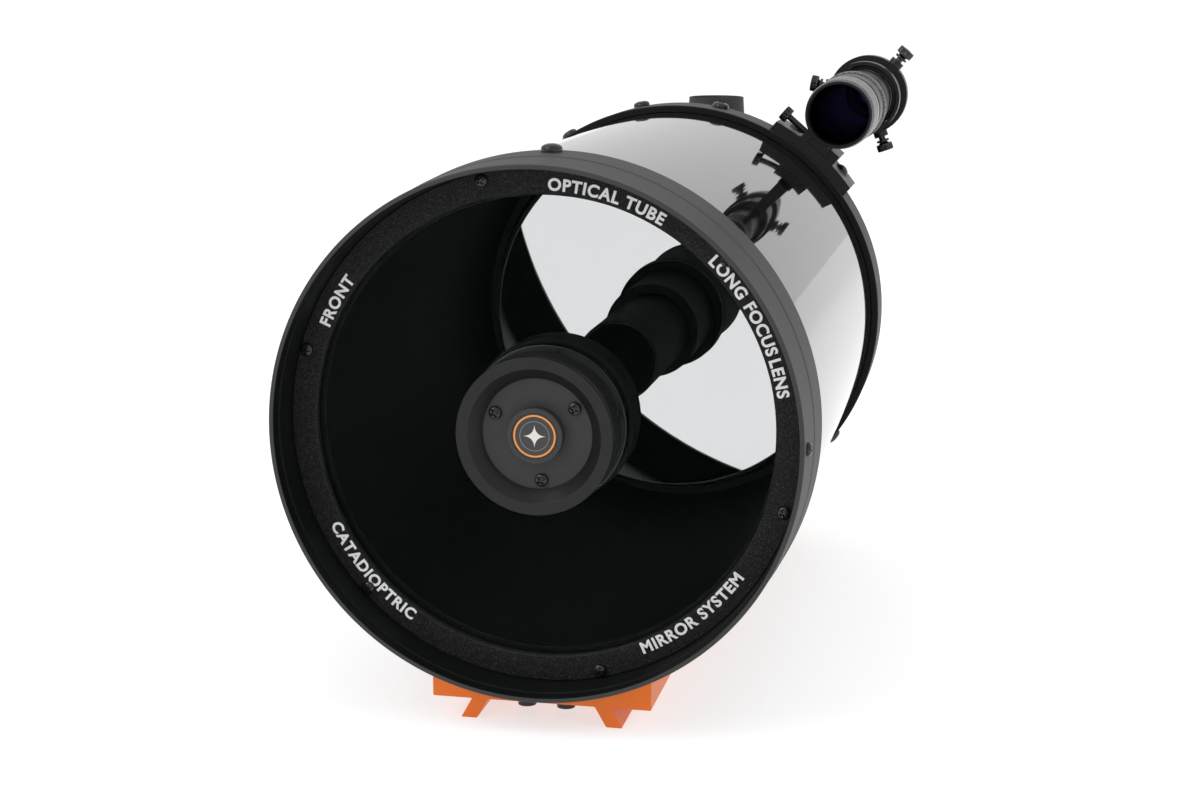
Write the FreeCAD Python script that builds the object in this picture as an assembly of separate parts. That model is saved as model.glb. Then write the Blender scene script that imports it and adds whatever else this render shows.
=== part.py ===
import FreeCAD, Part
import math
import os

# Eight-inch catadioptric telescope tube with its small aiming scope, star diagonal and eyepiece.
# Frame: origin in the middle of the front lip, +Y along the optical axis towards the eyepiece,
# +Z up, +X to the right for someone who looks into the front. Millimetres.
# "Upright" pieces are drawn above the optical axis (radial direction +Z) and then turned about Y
# to their clock angle, which is counted from +X towards +Z.

V = FreeCAD.Vector

# ---- clearances -------------------------------------------------------------------------------
SEAT_GAP = 0.05           # round seats and threads inside one body
RUN_GAP = 0.07            # radial gap of a running or sliding fit
SCREW_HOLE_GAP = 0.05     # screw shank to its hole
FREE_GAP = 0.3            # faces of different bodies that pass each other
TURN_GAP = 0.25           # axial gap beside a turning ring

# ---- front cell and corrector -----------------------------------------------------------------
LIP_WALL = 2.0              # wall of the front lip outside the dust cap's seat
CELL_TAPER = 2.0            # how much wider the cells are than the lip
FRONT_CELL_LENGTH = 50.0
CAP_SEAT_STEP = 0.7         # the dust cap's seat is this much wider than the recess
CAP_SEAT_DEPTH = 7.0
RING_LAND = 8.3             # the recess is this much wider than the glass
RING_FACE_Y = 22.4        # front face of the corrector's retaining ring
RING_THICKNESS = 3.0
RING_SHADE = 1.4            # the ring in front of the glass stays outside the clear aperture
RING_SCREW_INSET = 3.4      # screw centres inside the recess wall
RING_SCREW_COUNT = 6
RING_SCREW_START = 43.5   # degrees
GLASS_GASKET = 0.8
GLASS_LEDGE = 4.9           # glass outside the clear aperture
CORRECTOR_THICKNESS = 5.0
GLASS_POCKET_GAP = 1.5    # room for shims between the glass edge and the cell
CLEAR_APERTURE_R = 101.6
GLASS_SHELF = 3.6
SHIM_COUNT = 5
LIP_SCREW_Y = 8.4
BAND_EDGE = 23.0            # the lip's band ends this far before the skirt's end
PIN_INSET = 11.0            # set screw in front of the skirt's end
LIP_SCREW_ANGLES = (0.0, 180.0, 270.0)
TOP_SCREW_INSET = 6.0       # accessory screw in front of the skirt's end

# ---- tube ---------------------------------------------------------------------------------------
SKIRT_WALL = 4.0            # the cells' wall over the tube
TUBE_WALL = 1.6
TUBE_LENGTH = 331.2
TUBE_OVERLAP = 12.0       # how far the tube enters the rear cell

# ---- rear cell ----------------------------------------------------------------------------------
REAR_RIM_LENGTH = 28.0
REAR_RIM_WALL = 10.5
REAR_DOME_DEPTH = 32.0    # from the rim's back edge to the hub's face
REAR_WALL = 6.0
HUB_R = 44.0
PORT_R = 25.4             # two-inch thread of the rear port
PORT_LENGTH = 18.0
REAR_SCREW_ANGLES = (78.75, 101.25, 123.75, 219.0, 321.0)
BUTTON_HEAD_R = 4.75
BUTTON_HEAD_H = 3.4
BUTTON_SHANK_R = 2.5

# ---- primary mirror, carrier and baffle ---------------------------------------------------------
MIRROR_MARGIN = 1.9         # mirror outside the clear aperture
MIRROR_EDGE = 21.5        # thickness at the edge
MIRROR_CURVE_R = 812.0    # sphere radius of the polished face
MIRROR_SETBACK = 7.5        # mirror vertex in front of the rear cell
SLEEVE_R = 26.0
SLEEVE_FRONT = 64.5         # sleeve in front of the mirror vertex
SLEEVE_REAR = 37.5          # sleeve behind the mirror vertex
SLEEVE_HOLE_GAP = 0.6
CARRIER_FLANGE_R = 72.0
CARRIER_FLANGE = 4.0
LOCK_RING_R = 31.0
LOCK_RING_WIDTH = 6.0
BAFFLE_R = 21.0
BAFFLE_WALL = 1.5
BAFFLE_FRONT_Y = 187.0

# ---- focuser ------------------------------------------------------------------------------------
FOCUS_RADIUS = 62.0       # distance of the focus screw from the optical axis
FOCUS_ANGLE = 200.0
FOCUS_SCREW_R = 3.0
FOCUS_SCREW_SETBACK = 23.5  # front of the focus screw behind the mirror vertex
FOCUS_NUT_R = 6.5
FOCUS_NUT_LENGTH = 20.0
FOCUS_PAD_R = 19.0
FOCUS_HOUSING_R = 15.0
FOCUS_HOUSING_LENGTH = 9.0
HOUSING_SCREW_R = 11.0      # screws of the housing round the focus axis
KNOB_CORE_R = 9.0
KNOB_GRIP_R = 13.0
KNOB_LENGTH = 18.0

# ---- secondary assembly -------------------------------------------------------------------------
LOCKNUT_WALL = 2.9        # knurled ring over the neck's thread
LOCKNUT_FRONT_Y = 7.6
LOCKNUT_LIP_INSET = 5.3
LOCKNUT_DISH_INSET = 10.3
LOCKNUT_DISH_DEPTH = 5.6
LOCKNUT_LIP = 1.0
LOCKNUT_TEETH = 96
LOCKNUT_TOOTH = 0.55
NECK_R = 32.0
NECK_WALL = 4.0
PLATE_INSET = 1.1
PLATE_THICKNESS = 3.0
BOSS_INSET = 8.2
BOSS_HEIGHT = 5.3
BADGE_INSET = 2.3
BADGE_THICKNESS = 0.4
CLAMP_RING = 2.2
CLAMP_RING_WALL = 2.0
SECONDARY_GASKET = 0.5
HOLDER_FLANGE_WALL = 4.0
HOLDER_FLANGE = 6.5
HOLDER_DEPTH = 26.0       # holder behind the corrector
HOLDER_INSET = 1.4
BAFFLE_CUP_WALL = 2.6
BAFFLE_CUP_LENGTH = 17.0
COLLIMATION_INSET = 7.5
COLLIMATION_ANGLES = (155.3, 35.3, 275.3)
PAN_HEAD_R = 2.9
PAN_HEAD_H = 2.0
PAN_SHANK_R = 1.5
BACKING_INSET = 2.0
BACKING_THICKNESS = 5.0
SECONDARY_MIRROR_MARGIN = 0.5
SECONDARY_MIRROR_THICKNESS = 9.0
SECONDARY_CURVE_R = 236.0
PIVOT_R = 3.0
PIVOT_LENGTH = 4.6

# ---- visual back, diagonal and eyepiece ---------------------------------------------------------
BARREL_R = 15.875         # inch-and-a-quarter barrel
VISUAL_BACK_R = 19.4
VISUAL_BACK_LENGTH = 42.0
VISUAL_FLANGE_R = 25.2
VISUAL_FLANGE = 3.0
SLIP_RING_R = 31.0
SLIP_RING_LIP = 3.4
SLIP_RING_GRIP = 14.0     # thread length of the slip ring
THUMB_HEAD_R = 4.6
THUMB_HEAD_H = 4.0
THUMB_DISC_R = 3.6
THUMB_DISC_H = 1.3
THUMB_SHANK_R = 1.9
NOSE_LENGTH = 28.0
NOSE_BORE_R = 14.3
COLLAR_LENGTH = 4.0
COLLAR_R = 18.5
DIAGONAL_REACH = 30.0     # from the collar to the eyepiece axis
DIAGONAL_HALF = 22.0
DIAGONAL_WALL = 2.5
SOCKET_R = 19.5
SOCKET_HEIGHT = 28.0
EYEPIECE_BARREL = 24.0
EYEPIECE_BODY_R = 17.5
EYEPIECE_BODY_LENGTH = 49.0
EYEPIECE_BORE_R = 12.5
EYECUP_R = 18.5
EYECUP_LENGTH = 24.0
EYECUP_OPENING_R = 11.5

# ---- aiming scope -------------------------------------------------------------------------------
FINDER_ANGLE = 49.1
FINDER_STANDOFF = 47.2      # aiming scope's axis outside the cells
FINDER_FRONT = 156.0        # front of the aiming scope before the rear cell
OBJECTIVE_LENGTH = 64.0
OBJECTIVE_R = 17.6
OBJECTIVE_LIP_R = 16.6
OBJECTIVE_OPENING_R = 15.0
OBJECTIVE_BORE_R = 15.9
OBJECTIVE_RECESS = 9.0
OBJECTIVE_GLASS = 6.0
FINDER_THREAD = 22.0      # thread of the tube inside the objective cell
FINDER_LOCK_R = 18.3
FINDER_LOCK_WIDTH = 5.0
FINDER_RIB_R = 17.0
FINDER_RIB_COUNT = 6
FINDER_RIB_PITCH = 5.0
FINDER_TUBE_R = 15.2
FINDER_TUBE_WALL = 1.4
FINDER_TUBE_REAR = 38.0     # rear of its tube behind the rear cell's front
FINDER_EYEPIECE_LENGTH = 34.0
FINDER_EYEPIECE_R = 14.0
FINDER_EYECUP_R = 16.0
FINDER_EYE_OPENING_R = 9.0
O_RING_SETBACK = 28.0       # rubber ring in front of the rear hoop's screws
O_RING_SECTION_R = 1.35
O_RING_GAP = 0.15
FRONT_HOOP_WIDTH = 10.0
FRONT_HOOP_R = 20.0
REAR_HOOP_BACK = 17.0       # rear hoop behind the rear cell's front
REAR_HOOP_WIDTH = 10.0
REAR_HOOP_R = 22.3
REAR_HOOP_BORE_R = 18.6
HOOP_BOSS_R = 4.0
HOOP_BOSS_TOP = 25.2
THUMB_DISC_AT = 27.0      # lock disc and head positions along the thumbscrew
THUMB_HEAD_AT = 29.4
BRACKET_WEB = 9.0
SHOE_WIDTH = 57.0
SHOE_THICKNESS = 5.8
SHOE_FRONT = 2.0            # shoe behind the rear cell's front
SHOE_LENGTH = 31.0
RAIL_HEIGHT = 5.6
RAIL_R_OUT = 12.2         # half-width over the rails
FOOT_HALF_BOTTOM = 8.0
FOOT_HALF_TOP = 5.5
FOOT_LENGTH = 30.0
SHOE_SCREW_X = 17.5
SHOE_SCREW_BACK = 20.5      # shoe screws behind the shoe's front
LOCK_SCREW_BACK = 7.0       # lock screw behind the shoe's front
LOCK_SCREW_R = 1.8

# ---- dovetail bar -------------------------------------------------------------------------------
BAR_FRONT_Y = 18.0
BAR_OVERHANG = 4.0          # bar behind the rear rim
BAR_HALF_WIDTH = 50.0
BAR_WEB = 4.5               # plate under the cells, at its thinnest
BAR_RISE = 14.0             # height of the plate's two sides
LEG_HEIGHT = 9.2
LEG_INNER_TOP = 24.5
LEG_INNER_FOOT = 29.7
LEG_OUTER_TOP = 31.9
LEG_OUTER_FOOT = 37.0
BAR_SCREW_X = 9.0
BAR_SCREW_HEAD_R = 4.2
BAR_SCREW_HEAD_H = 4.6
BAR_SCREW_R = 2.5
BAR_SCREW_LENGTH = 12.0
BAR_SCREW_INSET = 21.0      # front screws before the skirt's end

# ---- places that follow from the sizes above ----------------------------------------------------
CORRECTOR_R = CLEAR_APERTURE_R + GLASS_LEDGE
RING_BORE_R = CLEAR_APERTURE_R + RING_SHADE
RECESS_R = CORRECTOR_R + RING_LAND
RING_SCREW_CIRCLE_R = RECESS_R - RING_SCREW_INSET
CAP_SEAT_R = RECESS_R + CAP_SEAT_STEP
LIP_R = CAP_SEAT_R + LIP_WALL
RIM_R = LIP_R + CELL_TAPER
TUBE_R = RIM_R - SKIRT_WALL
MIRROR_R = CLEAR_APERTURE_R + MIRROR_MARGIN
TOP_SCREW_Y = FRONT_CELL_LENGTH - TOP_SCREW_INSET
SHELF_Y = RING_FACE_Y + RING_THICKNESS
GLASS_Y = SHELF_Y + GLASS_GASKET
GLASS_BACK_Y = GLASS_Y + CORRECTOR_THICKNESS
POCKET_R = CORRECTOR_R + GLASS_POCKET_GAP
TUBE_FRONT_Y = GLASS_BACK_Y + GLASS_SHELF
TUBE_REAR_Y = TUBE_FRONT_Y + TUBE_LENGTH
REAR_CELL_Y = TUBE_REAR_Y - TUBE_OVERLAP
REAR_RIM_BACK_Y = REAR_CELL_Y + REAR_RIM_LENGTH
RIM_SCREW_Y = REAR_RIM_BACK_Y - 8.0
MIRROR_VERTEX_Y = REAR_CELL_Y - MIRROR_SETBACK
SLEEVE_FRONT_Y = MIRROR_VERTEX_Y - SLEEVE_FRONT
SLEEVE_REAR_Y = MIRROR_VERTEX_Y + SLEEVE_REAR
FOCUS_SCREW_FRONT_Y = MIRROR_VERTEX_Y + FOCUS_SCREW_SETBACK
HUB_Y = REAR_RIM_BACK_Y + REAR_DOME_DEPTH
PORT_END_Y = HUB_Y + PORT_LENGTH
BAFFLE_REAR_Y = PORT_END_Y - 8.0
FOCUS_PAD_Y = HUB_Y - 3.0
HOUSING_END_Y = FOCUS_PAD_Y + FOCUS_HOUSING_LENGTH
KNOB_Y = HOUSING_END_Y + TURN_GAP
MIRROR_SAG = MIRROR_CURVE_R - math.sqrt(MIRROR_CURVE_R ** 2 - MIRROR_R ** 2)
MIRROR_BACK_Y = MIRROR_VERTEX_Y - MIRROR_SAG + MIRROR_EDGE
PLATE_Y = LOCKNUT_FRONT_Y + LOCKNUT_DISH_DEPTH + LOCKNUT_LIP
NECK_Y = PLATE_Y + PLATE_THICKNESS
CLAMP_Y = GLASS_Y - SECONDARY_GASKET - CLAMP_RING
HOLDER_Y = GLASS_BACK_Y + SECONDARY_GASKET
NECK_GLASS_R = NECK_R + 0.4
NECK_BORE_R = NECK_R - NECK_WALL
LOCKNUT_R = NECK_R + LOCKNUT_WALL
LOCKNUT_LIP_R = LOCKNUT_R - LOCKNUT_LIP_INSET
LOCKNUT_DISH_R = LOCKNUT_R - LOCKNUT_DISH_INSET
PLATE_R = NECK_R - PLATE_INSET
CLAMP_RING_R = NECK_R + CLAMP_RING_WALL
HOLDER_FLANGE_R = NECK_R + HOLDER_FLANGE_WALL
HOLDER_R = HOLDER_FLANGE_R - HOLDER_INSET
BAFFLE_CUP_R = HOLDER_R + BAFFLE_CUP_WALL
BACKING_R = NECK_BORE_R - BACKING_INSET
SECONDARY_MIRROR_R = BACKING_R + SECONDARY_MIRROR_MARGIN
COLLIMATION_R = NECK_BORE_R - COLLIMATION_INSET
BOSS_R = COLLIMATION_R - BOSS_INSET
BADGE_R = BOSS_R - BADGE_INSET
BACKING_Y = NECK_Y + PIVOT_LENGTH + 0.15
VISUAL_Y = PORT_END_Y
VISUAL_END_Y = VISUAL_Y + VISUAL_BACK_LENGTH
VISUAL_BORE_R = BARREL_R + RUN_GAP
COLLAR_Y = VISUAL_END_Y + TURN_GAP
DIAGONAL_Y = COLLAR_Y + COLLAR_LENGTH
EYE_AXIS_Y = DIAGONAL_Y + DIAGONAL_REACH
SOCKET_TOP = DIAGONAL_HALF + SOCKET_HEIGHT
EYEPIECE_Z = SOCKET_TOP + TURN_GAP
FINDER_OFFSET = RIM_R + FINDER_STANDOFF
FINDER_FRONT_Y = REAR_CELL_Y - FINDER_FRONT
FINDER_TUBE_REAR_Y = REAR_CELL_Y + FINDER_TUBE_REAR
REAR_HOOP_Y = REAR_CELL_Y + REAR_HOOP_BACK
O_RING_Y = REAR_HOOP_Y - O_RING_SETBACK
SHOE_FRONT_Y = REAR_CELL_Y + SHOE_FRONT
SHOE_SCREW_Y = SHOE_FRONT_Y + SHOE_SCREW_BACK
LOCK_SCREW_Y = SHOE_FRONT_Y + LOCK_SCREW_BACK
FINDER_TUBE_FRONT_Y = FINDER_FRONT_Y + OBJECTIVE_LENGTH - FINDER_THREAD
FINDER_LOCK_Y = FINDER_FRONT_Y + OBJECTIVE_LENGTH + TURN_GAP
FINDER_RIB_Y = FINDER_LOCK_Y + FINDER_LOCK_WIDTH + TURN_GAP
SHOE_TOP = RIM_R + SEAT_GAP + SHOE_THICKNESS
BAR_CHANNEL_R = RIM_R + SEAT_GAP
BAR_LENGTH = REAR_RIM_BACK_Y + BAR_OVERHANG - BAR_FRONT_Y
BAR_UNDERSIDE = RIM_R + BAR_WEB
BAR_SHOULDER = BAR_UNDERSIDE - BAR_RISE
FOOT_Z = BAR_UNDERSIDE + LEG_HEIGHT
BAR_FRONT_SCREW_Y = FRONT_CELL_LENGTH - BAR_SCREW_INSET


def save(name, shape):
    """Write one sub-part as parts/name.step."""
    shape.exportStep("parts/" + name + ".step")


def turned(profile):
    """Solid of revolution about the optical axis from closed (radius, y) corner points."""
    corners = [V(r, y, 0) for r, y in profile]
    wire = Part.makePolygon(corners + corners[:1])
    return Part.Face(wire).revolve(V(0, 0, 0), V(0, 1, 0), 360)


def ring(outer, inner, y_front, y_back):
    """Plain ring or sleeve about the optical axis."""
    return turned([(inner, y_front), (outer, y_front), (outer, y_back), (inner, y_back)])


def disc(radius, y_front, y_back):
    """Plain disc on the optical axis."""
    return Part.makeCylinder(radius, y_back - y_front, V(0, y_front, 0), V(0, 1, 0))


def post(radius, z_low, z_high, x=0.0, y=0.0):
    """Upright cylinder along +Z."""
    return Part.makeCylinder(radius, z_high - z_low, V(x, y, z_low), V(0, 0, 1))


def block(x0, x1, y0, y1, z0, z1):
    """Box between two corners."""
    return Part.makeBox(x1 - x0, y1 - y0, z1 - z0, V(x0, y0, z0))


def prism(outline, y0, y1):
    """Extrude (x, z) corner points along Y."""
    corners = [V(x, y0, z) for x, z in outline]
    wire = Part.makePolygon(corners + corners[:1])
    return Part.Face(wire).extrude(V(0, y1 - y0, 0))


def moved(shape, x=0.0, y=0.0, z=0.0):
    """Copy of a shape, shifted."""
    copy = shape.copy()
    copy.translate(V(x, y, z))
    return copy


def spun(shape, degrees, centre=V(0, 0, 0), axis=V(0, 1, 0)):
    """Copy of a shape, turned about an axis."""
    copy = shape.copy()
    copy.rotate(centre, axis, degrees)
    return copy


def at_clock(shape, clock):
    """Turn an upright piece about the optical axis to its clock angle."""
    return spun(shape, 90.0 - clock)


def facing_front(shape, radius, clock, y):
    """Lay an upright piece down so that its +Z points at -Y, and put it at a clock angle."""
    turn = math.radians(clock)
    laid = spun(shape, 90.0, axis=V(1, 0, 0))
    return moved(laid, radius * math.cos(turn), y, radius * math.sin(turn))


def facing_back(shape, radius, clock, y):
    """Lay an upright piece down so that its +Z points at +Y, and put it at a clock angle."""
    turn = math.radians(clock)
    laid = spun(shape, -90.0, axis=V(1, 0, 0))
    return moved(laid, radius * math.cos(turn), y, radius * math.sin(turn))


def joined(shapes):
    """One solid from touching or overlapping shapes."""
    result = shapes[0]
    for shape in shapes[1:]:
        result = result.fuse(shape)
    return result.removeSplitter()


def drilled(shape, cutters):
    """Cut every cutter from a shape."""
    for cutter in cutters:
        shape = shape.cut(cutter)
    return shape


def dome(radius, height, z):
    """Spherical cap that stands on the plane z."""
    edge = 0.25 * height
    rise = height - edge
    sphere_r = (radius ** 2 + rise ** 2) / (2.0 * rise)
    ball = Part.makeSphere(sphere_r, V(0, 0, z + height - sphere_r))
    cap = ball.common(post(radius, z + edge, z + height + 1.0))
    return joined([post(radius, z, z + edge), cap])


def cross_recess(radius, z, depth):
    """Cutter for a cross-shaped driver recess."""
    arm = 0.22 * radius
    reach = 0.62 * radius
    return joined([block(-reach, reach, -arm, arm, z - depth, z + depth),
                   block(-arm, arm, -reach, reach, z - depth, z + depth)])


def hex_recess(radius, z, depth):
    """Cutter for a hexagonal driver recess."""
    turns = [k * math.pi / 3 for k in range(6)]
    corners = [V(radius * math.cos(t), radius * math.sin(t), z - depth) for t in turns]
    return Part.Face(Part.makePolygon(corners + corners[:1])).extrude(V(0, 0, 2 * depth))


def pan_screw(length):
    """Small cross-recess screw; its head stands on z = 0."""
    head = dome(PAN_HEAD_R, PAN_HEAD_H, 0.0).cut(cross_recess(PAN_HEAD_R, PAN_HEAD_H, 1.0))
    return joined([head, post(PAN_SHANK_R, -length, 0.0)])


def button_screw(length):
    """Button-head screw with a hexagonal recess; its head stands on z = 0."""
    head = dome(BUTTON_HEAD_R, BUTTON_HEAD_H, 0.0).cut(hex_recess(1.7, BUTTON_HEAD_H, 1.6))
    return joined([head, post(BUTTON_SHANK_R, -length, 0.0)])


def thumb_screw(tip, disc_at, head_at):
    """Thumbscrew along +Z from its tip, with a lock disc and a waisted knurled head."""
    head = knurled(THUMB_HEAD_R, THUMB_HEAD_H, 18, 0.35, head_at)
    waist = Part.makeCone(THUMB_SHANK_R, 0.7 * THUMB_HEAD_R, 1.2, V(0, 0, head_at - 1.2))
    lock_disc = post(THUMB_DISC_R, disc_at, disc_at + THUMB_DISC_H)
    return joined([post(THUMB_SHANK_R, tip, head_at), lock_disc, waist, head])


def knurled(radius, length, teeth, depth, z):
    """Upright cylinder with straight V-shaped teeth."""
    corners = []
    for k in range(2 * teeth):
        r = radius if k % 2 == 0 else radius - depth
        turn = k * math.pi / teeth
        corners.append(V(r * math.cos(turn), r * math.sin(turn), z))
    return Part.Face(Part.makePolygon(corners + corners[:1])).extrude(V(0, 0, length))


# ---- front cell -----------------------------------------------------------------------------------
def bar_screw_places():
    """Centres (x, y) of the screws that hold the dovetail bar to the two cells."""
    return [(x, y) for y in (BAR_FRONT_SCREW_Y, RIM_SCREW_Y) for x in (-BAR_SCREW_X, BAR_SCREW_X)]


def bar_screw_holes(gap):
    """Cutters for the dovetail screws, from the feet up into the cells."""
    depth = BAR_SCREW_LENGTH + SEAT_GAP
    return [post(BAR_SCREW_R + gap, -BAR_UNDERSIDE - 1.0, -BAR_UNDERSIDE + depth, x, y)
            for x, y in bar_screw_places()]


def ring_screw_angles():
    return [RING_SCREW_START + k * 360.0 / RING_SCREW_COUNT for k in range(RING_SCREW_COUNT)]


def front_cell():
    """Cast ring: dust-cap seat, recess, glass pocket, clear aperture and a skirt over the tube."""
    band = FRONT_CELL_LENGTH - BAND_EDGE
    body = turned([
        (CAP_SEAT_R, 0.0), (LIP_R - 0.5, 0.0), (LIP_R, 0.8), (LIP_R + 0.9, band), (LIP_R + 1.3, band + 1.4),
        (RIM_R, FRONT_CELL_LENGTH - 2.0), (RIM_R, FRONT_CELL_LENGTH - 0.8), (RIM_R - 0.8, FRONT_CELL_LENGTH),
        (TUBE_R + SEAT_GAP, FRONT_CELL_LENGTH), (TUBE_R + SEAT_GAP, TUBE_FRONT_Y),
        (CLEAR_APERTURE_R, TUBE_FRONT_Y), (CLEAR_APERTURE_R, GLASS_BACK_Y), (POCKET_R, GLASS_BACK_Y),
        (POCKET_R, SHELF_Y), (RECESS_R, SHELF_Y), (RECESS_R, CAP_SEAT_DEPTH), (CAP_SEAT_R, CAP_SEAT_DEPTH)])
    hole = post(PAN_SHANK_R + SCREW_HOLE_GAP, -7.0, 1.0)
    cutters = [facing_front(hole, RING_SCREW_CIRCLE_R, a, SHELF_Y) for a in ring_screw_angles()]
    lip_hole = post(PAN_SHANK_R + SCREW_HOLE_GAP, CAP_SEAT_R - 5.0, LIP_R + 5.0, y=LIP_SCREW_Y)
    cutters += [at_clock(lip_hole, a) for a in LIP_SCREW_ANGLES]
    cutters.append(post(BUTTON_SHANK_R + SCREW_HOLE_GAP, TUBE_R - 1.0, RIM_R + 1.0, y=TOP_SCREW_Y))
    pin_hole = post(1.2, RIM_R - 4.0, RIM_R + 1.0, y=FRONT_CELL_LENGTH - PIN_INSET)
    cutters.append(at_clock(pin_hole, FINDER_ANGLE))
    return drilled(body, cutters + bar_screw_holes(SCREW_HOLE_GAP))


def lip_screws():
    """Three small screws through the lip's wall, heads outside."""
    top = LIP_R + 0.45
    screw = moved(pan_screw(top - RECESS_R + 1.2), y=LIP_SCREW_Y, z=top)
    return Part.makeCompound([at_clock(screw, a) for a in LIP_SCREW_ANGLES])


def front_accessory_screw():
    """Button-head screw on top, through the skirt into the tube."""
    top = RIM_R + SEAT_GAP
    return moved(button_screw(top - TUBE_R + TUBE_WALL), y=TOP_SCREW_Y, z=top)


def corrector_retaining_ring():
    body = turned([
        (RING_BORE_R + 0.8, RING_FACE_Y), (RECESS_R - 0.5, RING_FACE_Y), (RECESS_R - 0.2, RING_FACE_Y + 0.3),
        (RECESS_R - 0.2, SHELF_Y), (RING_BORE_R, SHELF_Y), (RING_BORE_R, RING_FACE_Y + 0.8)])
    hole = post(PAN_SHANK_R + SCREW_HOLE_GAP, -RING_THICKNESS - 1.0, 1.0)
    return drilled(body, [facing_front(hole, RING_SCREW_CIRCLE_R, a, RING_FACE_Y)
                          for a in ring_screw_angles()])


def retaining_ring_screws():
    return Part.makeCompound([facing_front(pan_screw(9.0), RING_SCREW_CIRCLE_R, a, RING_FACE_Y)
                              for a in ring_screw_angles()])


def corrector_shims():
    """Thin card shims that centre the glass in its pocket."""
    band = ring(POCKET_R - 0.2, CORRECTOR_R + 0.2, GLASS_Y + 0.5, GLASS_BACK_Y - 0.5)
    wedge = block(-9.0, 9.0, 0.0, GLASS_BACK_Y + 1.0, 0.5 * CORRECTOR_R, POCKET_R + 1.0)
    shim = band.common(wedge)
    return Part.makeCompound([at_clock(shim, 256.0 + k * 360.0 / SHIM_COUNT) for k in range(SHIM_COUNT)])


# ---- tube and rear cell ---------------------------------------------------------------------------
def main_tube():
    body = ring(TUBE_R, TUBE_R - TUBE_WALL, TUBE_FRONT_Y, TUBE_REAR_Y)
    return body.cut(post(BUTTON_SHANK_R + SCREW_HOLE_GAP, TUBE_R - 5.0, TUBE_R + 5.0, y=TOP_SCREW_Y))


def rear_outline():
    """Outer corner points of the rear cell's dome, from rim to hub."""
    back = REAR_RIM_BACK_Y
    return [(RIM_R, REAR_CELL_Y + 0.8), (RIM_R, back - 1.5), (RIM_R - 1.5, back),
            (RIM_R - 7.0, back + 6.5), (RIM_R - 22.0, back + 16.0), (RIM_R - 49.0, back + 24.5),
            (HUB_R, back + 28.5), (HUB_R, HUB_Y - 0.8), (HUB_R - 0.8, HUB_Y)]


def rear_cavity():
    """Inner corner points of the rear cell, from the hub to the tube's seat."""
    back = REAR_RIM_BACK_Y
    inner_rim = RIM_R - REAR_RIM_WALL
    return [(BAFFLE_R + SEAT_GAP, HUB_Y - 18.0), (BAFFLE_R + 13.0, HUB_Y - 18.0),
            (BAFFLE_R + 13.0, back + 24.5 - REAR_WALL), (RIM_R - 49.0, back + 24.5 - REAR_WALL),
            (RIM_R - 24.0, back + 16.0 - REAR_WALL), (inner_rim, back), (inner_rim, TUBE_REAR_Y + 0.2),
            (TUBE_R + SEAT_GAP, TUBE_REAR_Y + 0.2), (TUBE_R + SEAT_GAP, REAR_CELL_Y)]


def rear_cell():
    """Cast dome with a rim over the tube, a threaded rear port and a pad for the focuser."""
    thread_end = PORT_END_Y - 0.8
    body = turned(
        [(RIM_R - 0.8, REAR_CELL_Y)] + rear_outline()
        + [(PORT_R, HUB_Y), (PORT_R, thread_end), (PORT_R - 0.8, PORT_END_Y),
           (BAFFLE_R - BAFFLE_WALL, PORT_END_Y), (BAFFLE_R - BAFFLE_WALL, BAFFLE_REAR_Y),
           (BAFFLE_R + SEAT_GAP, BAFFLE_REAR_Y)]
        + rear_cavity())
    pad = facing_back(post(FOCUS_PAD_R, -8.0, 0.0), FOCUS_RADIUS, FOCUS_ANGLE, FOCUS_PAD_Y)
    body = joined([body, pad])
    screw_hole = post(BUTTON_SHANK_R + SCREW_HOLE_GAP, RIM_R - 8.0, RIM_R + 5.0, y=RIM_SCREW_Y)
    cutters = [at_clock(screw_hole, a) for a in REAR_SCREW_ANGLES]
    cutters.append(facing_back(post(FOCUS_SCREW_R + 2.2, -40.0, 5.0), FOCUS_RADIUS, FOCUS_ANGLE, FOCUS_PAD_Y))
    cutters += focus_housing_holes()
    shoe_holes = [post(BUTTON_SHANK_R + SCREW_HOLE_GAP, RIM_R - 8.0, RIM_R + 9.0, x, SHOE_SCREW_Y)
                  for x in (-SHOE_SCREW_X, SHOE_SCREW_X)]
    cutters += [at_clock(hole, FINDER_ANGLE) for hole in shoe_holes]
    return drilled(body, cutters + bar_screw_holes(SCREW_HOLE_GAP))


def rear_cell_screws():
    top = RIM_R + SEAT_GAP
    screw = moved(button_screw(7.5), y=RIM_SCREW_Y, z=top)
    return Part.makeCompound([at_clock(screw, a) for a in REAR_SCREW_ANGLES])


# ---- primary mirror, carrier, baffle ---------------------------------------------------------------
def mirror_face_y(radius):
    """Height of the polished concave face along the optical axis."""
    return MIRROR_VERTEX_Y - (MIRROR_CURVE_R - math.sqrt(MIRROR_CURVE_R ** 2 - radius ** 2))


def primary_mirror():
    hole_r = SLEEVE_R + SLEEVE_HOLE_GAP
    middle_r = 0.5 * (hole_r + MIRROR_R)
    inner = V(hole_r, mirror_face_y(hole_r), 0)
    outer = V(MIRROR_R - 1.0, mirror_face_y(MIRROR_R - 1.0), 0)
    face = Part.Arc(inner, V(middle_r, mirror_face_y(middle_r), 0), outer).toShape()
    corners = [outer, V(MIRROR_R, mirror_face_y(MIRROR_R) + 1.0, 0), V(MIRROR_R, MIRROR_BACK_Y - 1.0, 0),
               V(MIRROR_R - 1.0, MIRROR_BACK_Y, 0), V(hole_r, MIRROR_BACK_Y, 0), inner]
    edges = [face] + [Part.LineSegment(a, b).toShape() for a, b in zip(corners, corners[1:])]
    return Part.Face(Part.Wire(edges)).revolve(V(0, 0, 0), V(0, 1, 0), 360)


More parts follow.
